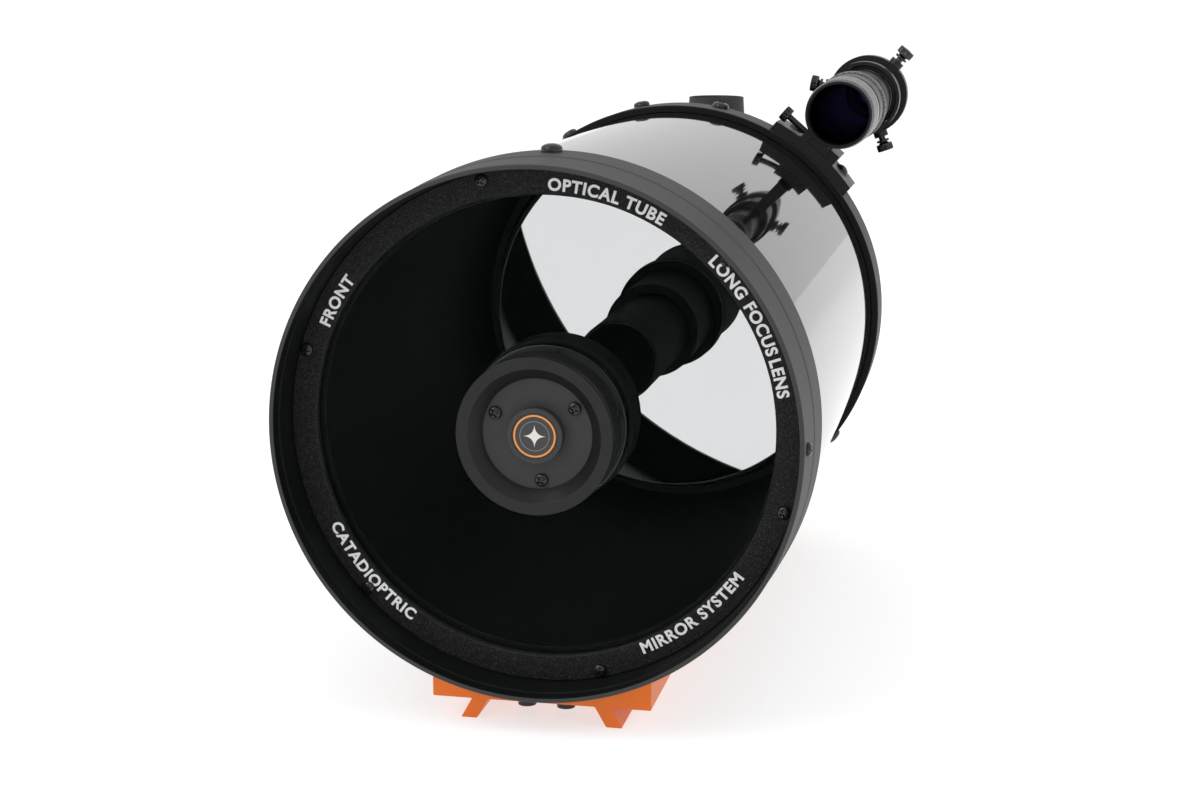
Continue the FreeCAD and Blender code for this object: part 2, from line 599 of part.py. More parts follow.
def mirror_carrier():
    """Sleeve that slides on the baffle tube, with the flange and arm behind the mirror."""
    sleeve = ring(SLEEVE_R, BAFFLE_R + RUN_GAP, SLEEVE_FRONT_Y, SLEEVE_REAR_Y)
    flange = ring(CARRIER_FLANGE_R, BAFFLE_R + RUN_GAP, MIRROR_BACK_Y, MIRROR_BACK_Y + CARRIER_FLANGE)
    body = joined([sleeve, flange])
    seat = facing_back(post(FOCUS_NUT_R + SEAT_GAP, -20.0, 20.0), FOCUS_RADIUS, FOCUS_ANGLE, MIRROR_BACK_Y)
    return body.cut(seat)


def focus_nut():
    nut = post(FOCUS_NUT_R, 0.2, CARRIER_FLANGE + FOCUS_NUT_LENGTH)
    collar = post(FOCUS_NUT_R + 2.5, CARRIER_FLANGE, CARRIER_FLANGE + 2.0)
    body = joined([nut, collar]).cut(post(FOCUS_SCREW_R + RUN_GAP, -1.0, 40.0))
    return facing_back(body, FOCUS_RADIUS, FOCUS_ANGLE, MIRROR_BACK_Y)


def mirror_lock_ring():
    back = mirror_face_y(LOCK_RING_R) - 0.1
    return ring(LOCK_RING_R, SLEEVE_R + SEAT_GAP, back - LOCK_RING_WIDTH, back)


def baffle_tube():
    return ring(BAFFLE_R, BAFFLE_R - BAFFLE_WALL, BAFFLE_FRONT_Y, BAFFLE_REAR_Y)


# ---- focuser ------------------------------------------------------------------------------------
def focus_housing_holes():
    """Cutters for the three screws that hold the focuser's bearing housing."""
    holes = []
    for k in range(3):
        hole = post(PAN_SHANK_R + SCREW_HOLE_GAP, -6.0, FOCUS_HOUSING_LENGTH + 5.0, HOUSING_SCREW_R)
        hole = spun(hole, k * 120.0, axis=V(0, 0, 1))
        holes.append(facing_back(hole, FOCUS_RADIUS, FOCUS_ANGLE, FOCUS_PAD_Y))
    return holes


def focus_bearing_housing():
    body = post(FOCUS_HOUSING_R, 0.0, FOCUS_HOUSING_LENGTH - 2.0)
    nose = post(FOCUS_HOUSING_R - 7.5, 0.0, FOCUS_HOUSING_LENGTH)
    housing = joined([body, nose])
    housing = housing.cut(post(FOCUS_SCREW_R + RUN_GAP, -5.0, 50.0))
    housing = housing.cut(post(FOCUS_SCREW_R + 2.0 + RUN_GAP, -5.0, 4.0 + RUN_GAP))
    housing = facing_back(housing, FOCUS_RADIUS, FOCUS_ANGLE, FOCUS_PAD_Y)
    return drilled(housing, focus_housing_holes())


def focus_housing_screws():
    screws = []
    for k in range(3):
        seat = FOCUS_HOUSING_LENGTH - 2.0
        screw = moved(pan_screw(seat + 5.5), x=HOUSING_SCREW_R, z=seat)
        screw = spun(screw, k * 120.0, axis=V(0, 0, 1))
        screws.append(facing_back(screw, FOCUS_RADIUS, FOCUS_ANGLE, FOCUS_PAD_Y))
    return Part.makeCompound(screws)


def focus_screw():
    """Threaded rod with a thrust collar inside the bearing housing."""
    front = FOCUS_SCREW_FRONT_Y - FOCUS_PAD_Y
    rod = post(FOCUS_SCREW_R, front, FOCUS_HOUSING_LENGTH + TURN_GAP + KNOB_LENGTH - 5.0)
    collar = post(FOCUS_SCREW_R + 2.0, RUN_GAP, 4.0)
    return facing_back(joined([rod, collar]), FOCUS_RADIUS, FOCUS_ANGLE, FOCUS_PAD_Y)


def focus_knob():
    core = joined([post(KNOB_CORE_R, 0.0, KNOB_LENGTH), post(KNOB_GRIP_R - 1.0, 0.0, 1.5)])
    core = core.cut(post(FOCUS_SCREW_R + SEAT_GAP, -1.0, KNOB_LENGTH - 4.95))
    return facing_back(core, FOCUS_RADIUS, FOCUS_ANGLE, KNOB_Y)


def focus_knob_grip():
    grip = knurled(KNOB_GRIP_R, KNOB_LENGTH - 2.5, 28, 0.9, 1.6)
    grip = grip.cut(post(KNOB_CORE_R + SEAT_GAP, -1.0, KNOB_LENGTH + 5.0))
    return facing_back(grip, FOCUS_RADIUS, FOCUS_ANGLE, KNOB_Y)


# ---- secondary assembly -------------------------------------------------------------------------
def secondary_lock_ring():
    """Knurled ring: its dished lip holds the cell, its thread runs on the holder's neck."""
    back = CLAMP_Y - TURN_GAP
    body = turned([
        (LOCKNUT_LIP_R, LOCKNUT_FRONT_Y), (LOCKNUT_R - 0.6, LOCKNUT_FRONT_Y),
        (LOCKNUT_R, LOCKNUT_FRONT_Y + 0.6), (LOCKNUT_R, back), (NECK_R + RUN_GAP, back),
        (NECK_R + RUN_GAP, PLATE_Y - TURN_GAP),
        (LOCKNUT_DISH_R, PLATE_Y - TURN_GAP), (LOCKNUT_DISH_R, PLATE_Y - LOCKNUT_LIP)])
    teeth = knurled(LOCKNUT_R + 0.02, back - LOCKNUT_FRONT_Y + 2.0, LOCKNUT_TEETH, LOCKNUT_TOOTH, 0.0)
    plain = post(LOCKNUT_R + 1.0, -1.0, 3.0).fuse(post(LOCKNUT_R + 1.0, back - LOCKNUT_FRONT_Y - 1.5, 40.0))
    teeth = facing_back(teeth.fuse(plain), 0.0, 0.0, LOCKNUT_FRONT_Y)
    return body.common(teeth)


def secondary_cell():
    """Plate with a centre boss, and the skirt that fits the holder's neck."""
    skirt_back = BACKING_Y + BACKING_THICKNESS
    face = PLATE_Y - BOSS_HEIGHT
    body = turned([
        (0.0, face), (BOSS_R - 0.4, face), (BOSS_R, face + 0.4),
        (BOSS_R, PLATE_Y), (PLATE_R, PLATE_Y), (PLATE_R, NECK_Y - 0.1),
        (NECK_BORE_R - RUN_GAP, NECK_Y - 0.1), (NECK_BORE_R - RUN_GAP, skirt_back),
        (BACKING_R + 0.9, skirt_back), (BACKING_R + 0.9, NECK_Y), (PIVOT_R, NECK_Y),
        (PIVOT_R - 1.0, NECK_Y + PIVOT_LENGTH), (0.0, NECK_Y + PIVOT_LENGTH)])
    badge_seat = disc(BADGE_R + SEAT_GAP, face - 1.0, face + BADGE_THICKNESS)
    hole = post(PAN_SHANK_R + RUN_GAP, -PLATE_THICKNESS - 2.0, 2.0)
    cutters = [facing_front(hole, COLLIMATION_R, a, PLATE_Y) for a in COLLIMATION_ANGLES]
    return drilled(body, [badge_seat] + cutters)


def centre_badge():
    face = PLATE_Y - BOSS_HEIGHT
    return disc(BADGE_R, face + 0.1, face + BADGE_THICKNESS)


def collimation_screw(clock):
    length = BACKING_Y + BACKING_THICKNESS - 0.5 - PLATE_Y
    return facing_front(moved(pan_screw(length), z=RUN_GAP), COLLIMATION_R, clock, PLATE_Y)


def secondary_mirror_plate():
    """Backing plate that rocks on the cell's centre pivot."""
    body = disc(BACKING_R, BACKING_Y, BACKING_Y + BACKING_THICKNESS)
    hole = post(PAN_SHANK_R + FREE_GAP, -40.0, 5.0)
    return drilled(body, [facing_front(hole, COLLIMATION_R, a, PLATE_Y) for a in COLLIMATION_ANGLES])


def secondary_mirror():
    """Round mirror with a convex face towards the primary."""
    front = BACKING_Y + BACKING_THICKNESS
    rear = front + SECONDARY_MIRROR_THICKNESS
    ball = Part.makeSphere(SECONDARY_CURVE_R, V(0, rear - SECONDARY_CURVE_R, 0))
    return disc(SECONDARY_MIRROR_R, front + 0.5, rear + 5.0).common(ball)


def secondary_holder():
    """Neck through the corrector, flange behind the glass and the housing of the mirror."""
    back = HOLDER_Y + HOLDER_DEPTH
    return turned([
        (NECK_BORE_R, NECK_Y), (NECK_R, NECK_Y), (NECK_R, HOLDER_Y), (HOLDER_FLANGE_R - 0.6, HOLDER_Y),
        (HOLDER_FLANGE_R, HOLDER_Y + 0.6), (HOLDER_FLANGE_R, HOLDER_Y + HOLDER_FLANGE - 0.6),
        (HOLDER_FLANGE_R - 0.6, HOLDER_Y + HOLDER_FLANGE), (HOLDER_R, HOLDER_Y + HOLDER_FLANGE),
        (HOLDER_R, back), (HOLDER_R - 2.0, back), (HOLDER_R - 2.0, HOLDER_Y + HOLDER_FLANGE + 2.0),
        (NECK_BORE_R, HOLDER_Y + HOLDER_FLANGE)])


def secondary_baffle():
    """Light shield pushed over the holder's rear end."""
    back = HOLDER_Y + HOLDER_DEPTH
    return turned([
        (HOLDER_R + SEAT_GAP, back + 1.0 - BAFFLE_CUP_LENGTH), (BAFFLE_CUP_R, back + 1.0 - BAFFLE_CUP_LENGTH),
        (BAFFLE_CUP_R, back + 1.0), (HOLDER_R - 3.5, back + 1.0), (HOLDER_R - 3.5, back),
        (HOLDER_R + SEAT_GAP, back)])


def secondary_gaskets():
    front = ring(CLAMP_RING_R - 0.3, NECK_GLASS_R, GLASS_Y - SECONDARY_GASKET, GLASS_Y)
    rear = ring(HOLDER_FLANGE_R - 0.8, NECK_GLASS_R, GLASS_BACK_Y, HOLDER_Y)
    return Part.makeCompound([front, rear])


# ---- visual back, diagonal, eyepiece ----------------------------------------------------------------
def visual_back():
    """Adapter from the rear port to an inch-and-a-quarter barrel."""
    body = turned([
        (VISUAL_BORE_R, VISUAL_Y), (VISUAL_FLANGE_R, VISUAL_Y), (VISUAL_FLANGE_R, VISUAL_Y + VISUAL_FLANGE),
        (VISUAL_BACK_R, VISUAL_Y + VISUAL_FLANGE), (VISUAL_BACK_R, VISUAL_END_Y - 12.0),
        (VISUAL_BACK_R + 1.2, VISUAL_END_Y - 11.0), (VISUAL_BACK_R + 1.2, VISUAL_END_Y - 0.8),
        (VISUAL_BACK_R + 0.4, VISUAL_END_Y), (VISUAL_BORE_R, VISUAL_END_Y)])
    return body.cut(post(THUMB_SHANK_R + RUN_GAP, 0.0, VISUAL_BACK_R + 5.0, y=VISUAL_END_Y - 6.0))


def visual_back_ring():
    """Slip ring: turns on the port's thread and pulls the adapter's flange against it."""
    front = PORT_END_Y - SLIP_RING_GRIP
    lip = VISUAL_Y + VISUAL_FLANGE + TURN_GAP
    body = turned([
        (PORT_R + RUN_GAP, front), (SLIP_RING_R - 1.0, front), (SLIP_RING_R, front + 1.0),
        (SLIP_RING_R, lip + SLIP_RING_LIP - 1.0), (SLIP_RING_R - 1.0, lip + SLIP_RING_LIP),
        (VISUAL_BACK_R + RUN_GAP, lip + SLIP_RING_LIP), (VISUAL_BACK_R + RUN_GAP, lip),
        (PORT_R + RUN_GAP, lip)])
    teeth = facing_back(knurled(SLIP_RING_R + 0.02, 60.0, 48, 0.8, -5.0), 0.0, 0.0, front)
    return body.common(teeth)


def visual_back_thumbscrew():
    screw = thumb_screw(BARREL_R + FREE_GAP, VISUAL_BACK_R + 6.0, VISUAL_BACK_R + 9.0)
    return moved(screw, y=VISUAL_END_Y - 6.0)


def diagonal_outline(inset):
    """Side view (y, z) of the diagonal's housing, shrunk inwards by inset."""
    y0 = DIAGONAL_Y + inset
    y1 = EYE_AXIS_Y + DIAGONAL_HALF - inset
    low = -DIAGONAL_HALF + inset
    high = DIAGONAL_HALF - inset
    cut = 5.0 + 0.4 * inset
    return [(y0, low), (EYE_AXIS_Y - DIAGONAL_HALF + cut, low), (y1, DIAGONAL_HALF - cut - inset),
            (y1, high), (y0, high)]


def side_prism(outline, half_width):
    """Extrude (y, z) corner points along X, both ways from the middle."""
    corners = [V(-half_width, y, z) for y, z in outline]
    return Part.Face(Part.makePolygon(corners + corners[:1])).extrude(V(2.0 * half_width, 0, 0))


def diagonal_housing():
    """Nose barrel, collar, five-sided box with its cavity, and the eyepiece socket."""
    nose = disc(BARREL_R, COLLAR_Y - NOSE_LENGTH, COLLAR_Y + 1.0)
    collar = disc(COLLAR_R, COLLAR_Y, DIAGONAL_Y + 1.0)
    box = side_prism(diagonal_outline(0.0), DIAGONAL_HALF - 2.0)
    socket = post(SOCKET_R, DIAGONAL_HALF - 1.0, SOCKET_TOP, y=EYE_AXIS_Y)
    body = joined([nose, collar, box, socket])
    cavity = side_prism(diagonal_outline(DIAGONAL_WALL), DIAGONAL_HALF - 2.0 - DIAGONAL_WALL)
    beam = disc(NOSE_BORE_R, COLLAR_Y - NOSE_LENGTH - 1.0, DIAGONAL_Y + 6.0)
    bore = post(BARREL_R + RUN_GAP, DIAGONAL_HALF - 4.0, SOCKET_TOP + 1.0, y=EYE_AXIS_Y)
    screw_place = V(0, EYE_AXIS_Y, SOCKET_TOP - 8.0)
    screw_hole = Part.makeCylinder(THUMB_SHANK_R + RUN_GAP, 30.0, screw_place, V(-1, 0, 0))
    return drilled(body, [cavity, beam, bore, screw_hole])


def diagonal_mirror():
    """Flat mirror that lies on the sloping wall of the housing."""
    low, high = diagonal_outline(DIAGONAL_WALL)[1:3]
    along = V(0, high[0] - low[0], high[1] - low[1])
    length = along.Length - 4.0
    half_width = DIAGONAL_HALF - 2.0 - DIAGONAL_WALL - 1.0
    plate = block(-half_width, half_width, -length / 2.0, length / 2.0, 0.2, 3.2)
    tilt = math.degrees(math.atan2(along.z, along.y))
    plate = spun(plate, tilt, axis=V(1, 0, 0))
    return moved(plate, y=(low[0] + high[0]) / 2.0, z=(low[1] + high[1]) / 2.0)


def diagonal_thumbscrew():
    screw = thumb_screw(BARREL_R + FREE_GAP, SOCKET_R + 3.0, SOCKET_R + 6.0)
    return moved(spun(screw, -90.0), y=EYE_AXIS_Y, z=SOCKET_TOP - 8.0)


def upright_ring(outer, inner, z_low, z_high):
    return post(outer, z_low, z_high, y=EYE_AXIS_Y).cut(post(inner, z_low - 1.0, z_high + 1.0, y=EYE_AXIS_Y))


def eyepiece_barrel():
    return upright_ring(BARREL_R, BARREL_R - 1.2, EYEPIECE_Z - EYEPIECE_BARREL, EYEPIECE_Z + 4.0)


def eyepiece_body():
    """Body with a seat for the barrel, a field stop and a grooved grip."""
    top = EYEPIECE_Z + EYEPIECE_BODY_LENGTH
    body = post(EYEPIECE_BODY_R, EYEPIECE_Z, top, y=EYE_AXIS_Y)
    body = body.cut(post(EYEPIECE_BORE_R, EYEPIECE_Z - 1.0, top + 1.0, y=EYE_AXIS_Y))
    body = body.cut(post(BARREL_R + SEAT_GAP, EYEPIECE_Z - 1.0, EYEPIECE_Z + 4.0 + SEAT_GAP, y=EYE_AXIS_Y))
    groove = upright_ring(EYEPIECE_BODY_R + 1.0, EYEPIECE_BODY_R - 0.8, 0.0, 1.2)
    return drilled(body, [moved(groove, z=EYEPIECE_Z + 8.0 + k * 3.0) for k in range(6)])


def eyepiece_lenses():
    top = EYEPIECE_Z + EYEPIECE_BODY_LENGTH
    eye = post(EYEPIECE_BORE_R - SEAT_GAP, top - 6.0, top - 1.0, y=EYE_AXIS_Y)
    field = post(EYEPIECE_BORE_R - SEAT_GAP, EYEPIECE_Z + 8.0, EYEPIECE_Z + 14.0, y=EYE_AXIS_Y)
    return Part.makeCompound([eye, field])


def eyecup():
    """Rubber cup over the top of the eyepiece."""
    top = EYEPIECE_Z + EYEPIECE_BODY_LENGTH
    low = top - 8.0
    skirt = post(EYECUP_R, low, top, y=EYE_AXIS_Y)
    cup = Part.makeCone(EYECUP_R, EYECUP_R - 1.0, EYECUP_LENGTH - 8.0, V(0, EYE_AXIS_Y, top))
    body = joined([skirt, cup])
    body = body.cut(post(EYEPIECE_BODY_R + SEAT_GAP, low - 1.0, top + SEAT_GAP, y=EYE_AXIS_Y))
    hollow = Part.makeCone(EYECUP_OPENING_R, EYECUP_R - 2.2, EYECUP_LENGTH - 8.0, V(0, EYE_AXIS_Y, top))
    return body.cut(hollow)


# ---- aiming scope -----------------------------------------------------------------------------------
def at_finder(shape):
    """Move a piece drawn about the Y axis to the aiming scope's axis."""
    return at_clock(moved(shape, z=FINDER_OFFSET), FINDER_ANGLE)


def finder_objective_cell():
    back = FINDER_FRONT_Y + OBJECTIVE_LENGTH
    return at_finder(turned([
        (OBJECTIVE_OPENING_R, FINDER_FRONT_Y), (OBJECTIVE_LIP_R - 0.5, FINDER_FRONT_Y),
        (OBJECTIVE_LIP_R, FINDER_FRONT_Y + 0.5), (OBJECTIVE_LIP_R, FINDER_FRONT_Y + 5.0),
        (OBJECTIVE_R - 0.3, FINDER_FRONT_Y + 7.0), (OBJECTIVE_R, back - 0.8), (OBJECTIVE_R - 0.8, back),
        (OBJECTIVE_BORE_R, back), (OBJECTIVE_BORE_R, FINDER_FRONT_Y + OBJECTIVE_RECESS),
        (OBJECTIVE_OPENING_R, FINDER_FRONT_Y + OBJECTIVE_RECESS)]))


def finder_objective_lens():
    front = FINDER_FRONT_Y + OBJECTIVE_RECESS + 0.1
    glass = disc(OBJECTIVE_BORE_R - RUN_GAP, front, front + OBJECTIVE_GLASS)
    ball_r = 75.0
    ball = Part.makeSphere(ball_r, V(0, front + ball_r, 0))
    return at_finder(glass.common(ball))


def finder_tube():
    """Threaded front, gripping ribs and the plain tube that the bracket holds."""
    thread_r = OBJECTIVE_BORE_R - RUN_GAP
    inner = FINDER_TUBE_R - FINDER_TUBE_WALL
    ribs_end = FINDER_RIB_Y + FINDER_RIB_COUNT * FINDER_RIB_PITCH
    profile = [(inner, FINDER_TUBE_FRONT_Y), (thread_r, FINDER_TUBE_FRONT_Y), (thread_r, FINDER_RIB_Y)]
    for k in range(FINDER_RIB_COUNT):
        y = FINDER_RIB_Y + k * FINDER_RIB_PITCH
        profile += [(FINDER_RIB_R, y + 0.4), (FINDER_RIB_R, y + 0.5 * FINDER_RIB_PITCH),
                    (thread_r, y + 0.6 * FINDER_RIB_PITCH), (thread_r, y + FINDER_RIB_PITCH)]
    profile += [(FINDER_TUBE_R, ribs_end + 1.0), (FINDER_TUBE_R, FINDER_TUBE_REAR_Y),
                (inner, FINDER_TUBE_REAR_Y)]
    return at_finder(turned(profile))


def finder_lock_ring():
    inner = OBJECTIVE_BORE_R
    back = FINDER_LOCK_Y + FINDER_LOCK_WIDTH
    return at_finder(ring(FINDER_LOCK_R, inner, FINDER_LOCK_Y, back))


def finder_eyepiece():
    """Rear body that plugs into the tube, with a soft eye ring."""
    front = FINDER_TUBE_REAR_Y
    back = front + FINDER_EYEPIECE_LENGTH
    plug_r = FINDER_TUBE_R - FINDER_TUBE_WALL - SEAT_GAP
    return at_finder(turned([
        (plug_r - 1.5, front - 10.0), (plug_r, front - 10.0), (plug_r, front), (FINDER_EYEPIECE_R, front),
        (FINDER_EYEPIECE_R, back - 14.0), (FINDER_EYECUP_R, back - 10.0), (FINDER_EYECUP_R, back - 1.0),
        (FINDER_EYECUP_R - 1.0, back), (FINDER_EYE_OPENING_R + 2.0, back), (FINDER_EYE_OPENING_R, back - 4.0),
        (FINDER_EYE_OPENING_R, back - 16.0), (plug_r - 1.5, back - 18.0)]))


def finder_eye_lens():
    back = FINDER_TUBE_REAR_Y + FINDER_EYEPIECE_LENGTH - 6.0
    return at_finder(disc(FINDER_EYE_OPENING_R - SEAT_GAP, back - 5.0, back))


def o_ring_bore():
    """Radius of the front hoop's bore that the rubber ring fills."""
    return FINDER_TUBE_R + O_RING_GAP + 2.0 * O_RING_SECTION_R + SEAT_GAP


def finder_o_ring():
    middle = FINDER_TUBE_R + O_RING_GAP + O_RING_SECTION_R
    return at_finder(Part.makeTorus(middle, O_RING_SECTION_R, V(0, O_RING_Y, 0), V(0, 1, 0)))


def finder_bracket():
    """Two hoops on one web, and the wedge foot that slides into the shoe."""
    front = O_RING_Y - FRONT_HOOP_WIDTH / 2.0
    rear = REAR_HOOP_Y - REAR_HOOP_WIDTH / 2.0
    hoops = [moved(disc(FRONT_HOOP_R, front, front + FRONT_HOOP_WIDTH), z=FINDER_OFFSET),
             moved(disc(REAR_HOOP_R, rear, rear + REAR_HOOP_WIDTH), z=FINDER_OFFSET)]
    for k in range(3):
        boss = post(HOOP_BOSS_R, 15.0, HOOP_BOSS_TOP, y=REAR_HOOP_Y)
        hoops.append(moved(spun(boss, k * 120.0), z=FINDER_OFFSET))
    foot_top = SHOE_TOP + RAIL_HEIGHT + 0.4
    web = block(-BRACKET_WEB / 2.0, BRACKET_WEB / 2.0, front, rear + REAR_HOOP_WIDTH,
                foot_top, FINDER_OFFSET - 15.0)
    body = joined(hoops + [web, bracket_foot()])
    clear_front = REAR_HOOP_BORE_R - 1.0
    cutters = [moved(disc(o_ring_bore(), front - 1.0, front + FRONT_HOOP_WIDTH), z=FINDER_OFFSET),
               moved(disc(clear_front + 1.0, front + FRONT_HOOP_WIDTH - 0.01, rear + REAR_HOOP_WIDTH + 1.0),
                     z=FINDER_OFFSET)]
    for k in range(3):
        hole = post(THUMB_SHANK_R + RUN_GAP, 10.0, 40.0, y=REAR_HOOP_Y)
        cutters.append(moved(spun(hole, k * 120.0), z=FINDER_OFFSET))
    return at_clock(drilled(body, cutters), FINDER_ANGLE)


def foot_outline(gap, low, high):
    """Wedge section (x, z) of the foot, grown sideways by gap, between two heights."""
    slope = (FOOT_HALF_BOTTOM - FOOT_HALF_TOP) / RAIL_HEIGHT

    def half(z):
        return FOOT_HALF_BOTTOM - slope * (z - SHOE_TOP) + gap
    return [(-half(low), low), (half(low), low), (half(high), high), (-half(high), high)]


def bracket_foot():
    low = SHOE_TOP + 0.15
    top = SHOE_TOP + RAIL_HEIGHT
    front = SHOE_FRONT_Y + 0.5
    wedge = prism(foot_outline(0.0, low, top), front, front + FOOT_LENGTH)
    slab = block(-FOOT_HALF_TOP, FOOT_HALF_TOP, front, front + FOOT_LENGTH, top - 0.1, top + 3.0)
    return joined([wedge, slab])


def finder_shoe():
    """Curved base on the rear rim with two undercut rails."""
    back = SHOE_FRONT_Y + SHOE_LENGTH
    half = SHOE_WIDTH / 2.0
    base = ring(SHOE_TOP, RIM_R + SEAT_GAP, SHOE_FRONT_Y, back)
    base = base.common(block(-half, half, 0.0, back + 1.0, 0.5 * RIM_R, SHOE_TOP + 1.0))
    rails = block(-RAIL_R_OUT, RAIL_R_OUT, SHOE_FRONT_Y, back, RIM_R + 2.0, SHOE_TOP + RAIL_HEIGHT)
    body = joined([base, rails])
    groove = foot_outline(0.08, SHOE_TOP, SHOE_TOP + RAIL_HEIGHT + 1.0)
    body = body.cut(prism(groove, SHOE_FRONT_Y - 1.0, back + 1.0))
    sides = (-SHOE_SCREW_X, SHOE_SCREW_X)
    top = SHOE_TOP + 20.0
    holes = [post(BUTTON_SHANK_R + SCREW_HOLE_GAP, RIM_R - 20.0, top, x, SHOE_SCREW_Y) for x in sides]
    seats = [post(BUTTON_HEAD_R + 0.2, shoe_screw_seat(), top, x, SHOE_SCREW_Y) for x in sides]
    lock_place = V(-20.0, LOCK_SCREW_Y, lock_screw_z())
    lock_hole = Part.makeCylinder(LOCK_SCREW_R + RUN_GAP, 20.0, lock_place, V(1, 0, 0))
    return at_clock(drilled(body, holes + seats + [lock_hole]), FINDER_ANGLE)


def shoe_screw_seat():
    """Height of the flat under the shoe's screw heads."""
    return math.sqrt(SHOE_TOP ** 2 - (SHOE_SCREW_X + BUTTON_HEAD_R) ** 2) - 0.2


def finder_shoe_screws():
    screws = [moved(button_screw(9.0), x, SHOE_SCREW_Y, shoe_screw_seat())
              for x in (-SHOE_SCREW_X, SHOE_SCREW_X)]
    return at_clock(Part.makeCompound(screws), FINDER_ANGLE)


def lock_screw_z():
    return SHOE_TOP + 0.5 * RAIL_HEIGHT


def finder_lock_screw():
    """Side screw of the shoe that clamps the foot; its head is past the shoe's end."""
    foot = foot_outline(FREE_GAP, lock_screw_z() - LOCK_SCREW_R, lock_screw_z())
    tip = foot[1][0]
    half = SHOE_WIDTH / 2.0
    head = knurled(4.4, 4.5, 16, 0.35, half - 3.5)
    screw = joined([post(LOCK_SCREW_R, tip, half - 3.0), head])
    screw = moved(spun(screw, -90.0), y=LOCK_SCREW_Y, z=lock_screw_z())
    return at_clock(screw, FINDER_ANGLE)


def finder_thumbscrew(k):
    screw = thumb_screw(FINDER_TUBE_R + FREE_GAP, THUMB_DISC_AT, THUMB_HEAD_AT)
    screw = spun(moved(screw, y=REAR_HOOP_Y), k * 120.0)
    return at_clock(moved(screw, z=FINDER_OFFSET), FINDER_ANGLE)


# ---- dovetail bar -------------------------------------------------------------------------------------
def dovetail_bar():
    """Wide plate with a round channel for the cells, on two splayed legs."""
    back = BAR_FRONT_Y + BAR_LENGTH
    plate = block(-BAR_HALF_WIDTH, BAR_HALF_WIDTH, BAR_FRONT_Y, back, -BAR_UNDERSIDE, -BAR_SHOULDER)
    leg = [(LEG_INNER_TOP, -BAR_UNDERSIDE + 1.0), (LEG_INNER_TOP, -BAR_UNDERSIDE), (LEG_INNER_FOOT, -FOOT_Z),
           (LEG_OUTER_FOOT, -FOOT_Z), (LEG_OUTER_TOP, -BAR_UNDERSIDE), (LEG_OUTER_TOP, -BAR_UNDERSIDE + 1.0)]
    other = [(-x, z) for x, z in reversed(leg)]
    body = joined([plate, prism(leg, BAR_FRONT_Y, back), prism(other, BAR_FRONT_Y, back)])
    body = body.cut(disc(BAR_CHANNEL_R, BAR_FRONT_Y - 1.0, back + 1.0))
    return drilled(body, bar_screw_holes(SCREW_HOLE_GAP))


def dovetail_screws():
    screws = []
    for x, y in bar_screw_places():
        head = post(BAR_SCREW_HEAD_R, -BAR_UNDERSIDE - BAR_SCREW_HEAD_H, -BAR_UNDERSIDE)
        head = head.cut(hex_recess(2.2, -BAR_UNDERSIDE - BAR_SCREW_HEAD_H, 2.5))
        shank = post(BAR_SCREW_R, -BAR_UNDERSIDE, -BAR_UNDERSIDE + BAR_SCREW_LENGTH)
        screws.append(moved(joined([head, shank]), x, y))
    return Part.makeCompound(screws)


def main():
    os.makedirs("parts", exist_ok=True)
    save("front_cell", front_cell())
    save("lip_screws", lip_screws())
    save("front_accessory_screw", front_accessory_screw())
    save("corrector_retaining_ring", corrector_retaining_ring())
    save("retaining_ring_screws", retaining_ring_screws())
    save("corrector_plate", ring(CORRECTOR_R, NECK_GLASS_R, GLASS_Y, GLASS_BACK_Y))
    save("corrector_gasket", ring(CORRECTOR_R - 0.5, RING_BORE_R + 0.3, SHELF_Y, GLASS_Y))
    save("corrector_shims", corrector_shims())
    save("main_tube", main_tube())
    save("rear_cell", rear_cell())
    save("rear_cell_screws", rear_cell_screws())
    save("primary_mirror", primary_mirror())
    save("mirror_carrier", mirror_carrier())
    save("mirror_lock_ring", mirror_lock_ring())
    save("focus_nut", focus_nut())
    save("baffle_tube", baffle_tube())
    save("focus_bearing_housing", focus_bearing_housing())
    save("focus_housing_screws", focus_housing_screws())
    save("focus_screw", focus_screw())
    save("focus_knob", focus_knob())
    save("focus_knob_grip", focus_knob_grip())
    save("secondary_lock_ring", secondary_lock_ring())
    save("secondary_cell", secondary_cell())
    save("centre_badge", centre_badge())
    for k, clock in enumerate(COLLIMATION_ANGLES):
        save("collimation_screw_%d" % (k + 1), collimation_screw(clock))
    save("secondary_mirror_plate", secondary_mirror_plate())
    save("secondary_mirror", secondary_mirror())
    save("secondary_holder", secondary_holder())
    save("secondary_baffle", secondary_baffle())
    save("secondary_clamp_ring", ring(CLAMP_RING_R, NECK_R + SEAT_GAP, CLAMP_Y, CLAMP_Y + CLAMP_RING))
    save("secondary_gaskets", secondary_gaskets())
    save("visual_back", visual_back())
    save("visual_back_ring", visual_back_ring())
    save("visual_back_thumbscrew", visual_back_thumbscrew())
    save("diagonal_housing", diagonal_housing())
    save("diagonal_mirror", diagonal_mirror())
    save("diagonal_thumbscrew", diagonal_thumbscrew())
    save("eyepiece_barrel", eyepiece_barrel())
    save("eyepiece_body", eyepiece_body())
    save("eyepiece_lenses", eyepiece_lenses())
    save("eyecup", eyecup())
    save("finder_objective_cell", finder_objective_cell())
    save("finder_objective_lens", finder_objective_lens())
    save("finder_tube", finder_tube())
    save("finder_lock_ring", finder_lock_ring())
    save("finder_eyepiece", finder_eyepiece())
    save("finder_eye_lens", finder_eye_lens())
    save("finder_o_ring", finder_o_ring())
    save("finder_bracket", finder_bracket())
    save("finder_shoe", finder_shoe())
    save("finder_shoe_screws", finder_shoe_screws())
    save("finder_lock_screw", finder_lock_screw())
    for k in range(3):
        save("finder_thumbscrew_%d" % (k + 1), finder_thumbscrew(k))
    save("dovetail_bar", dovetail_bar())
    save("dovetail_screws", dovetail_screws())


main()
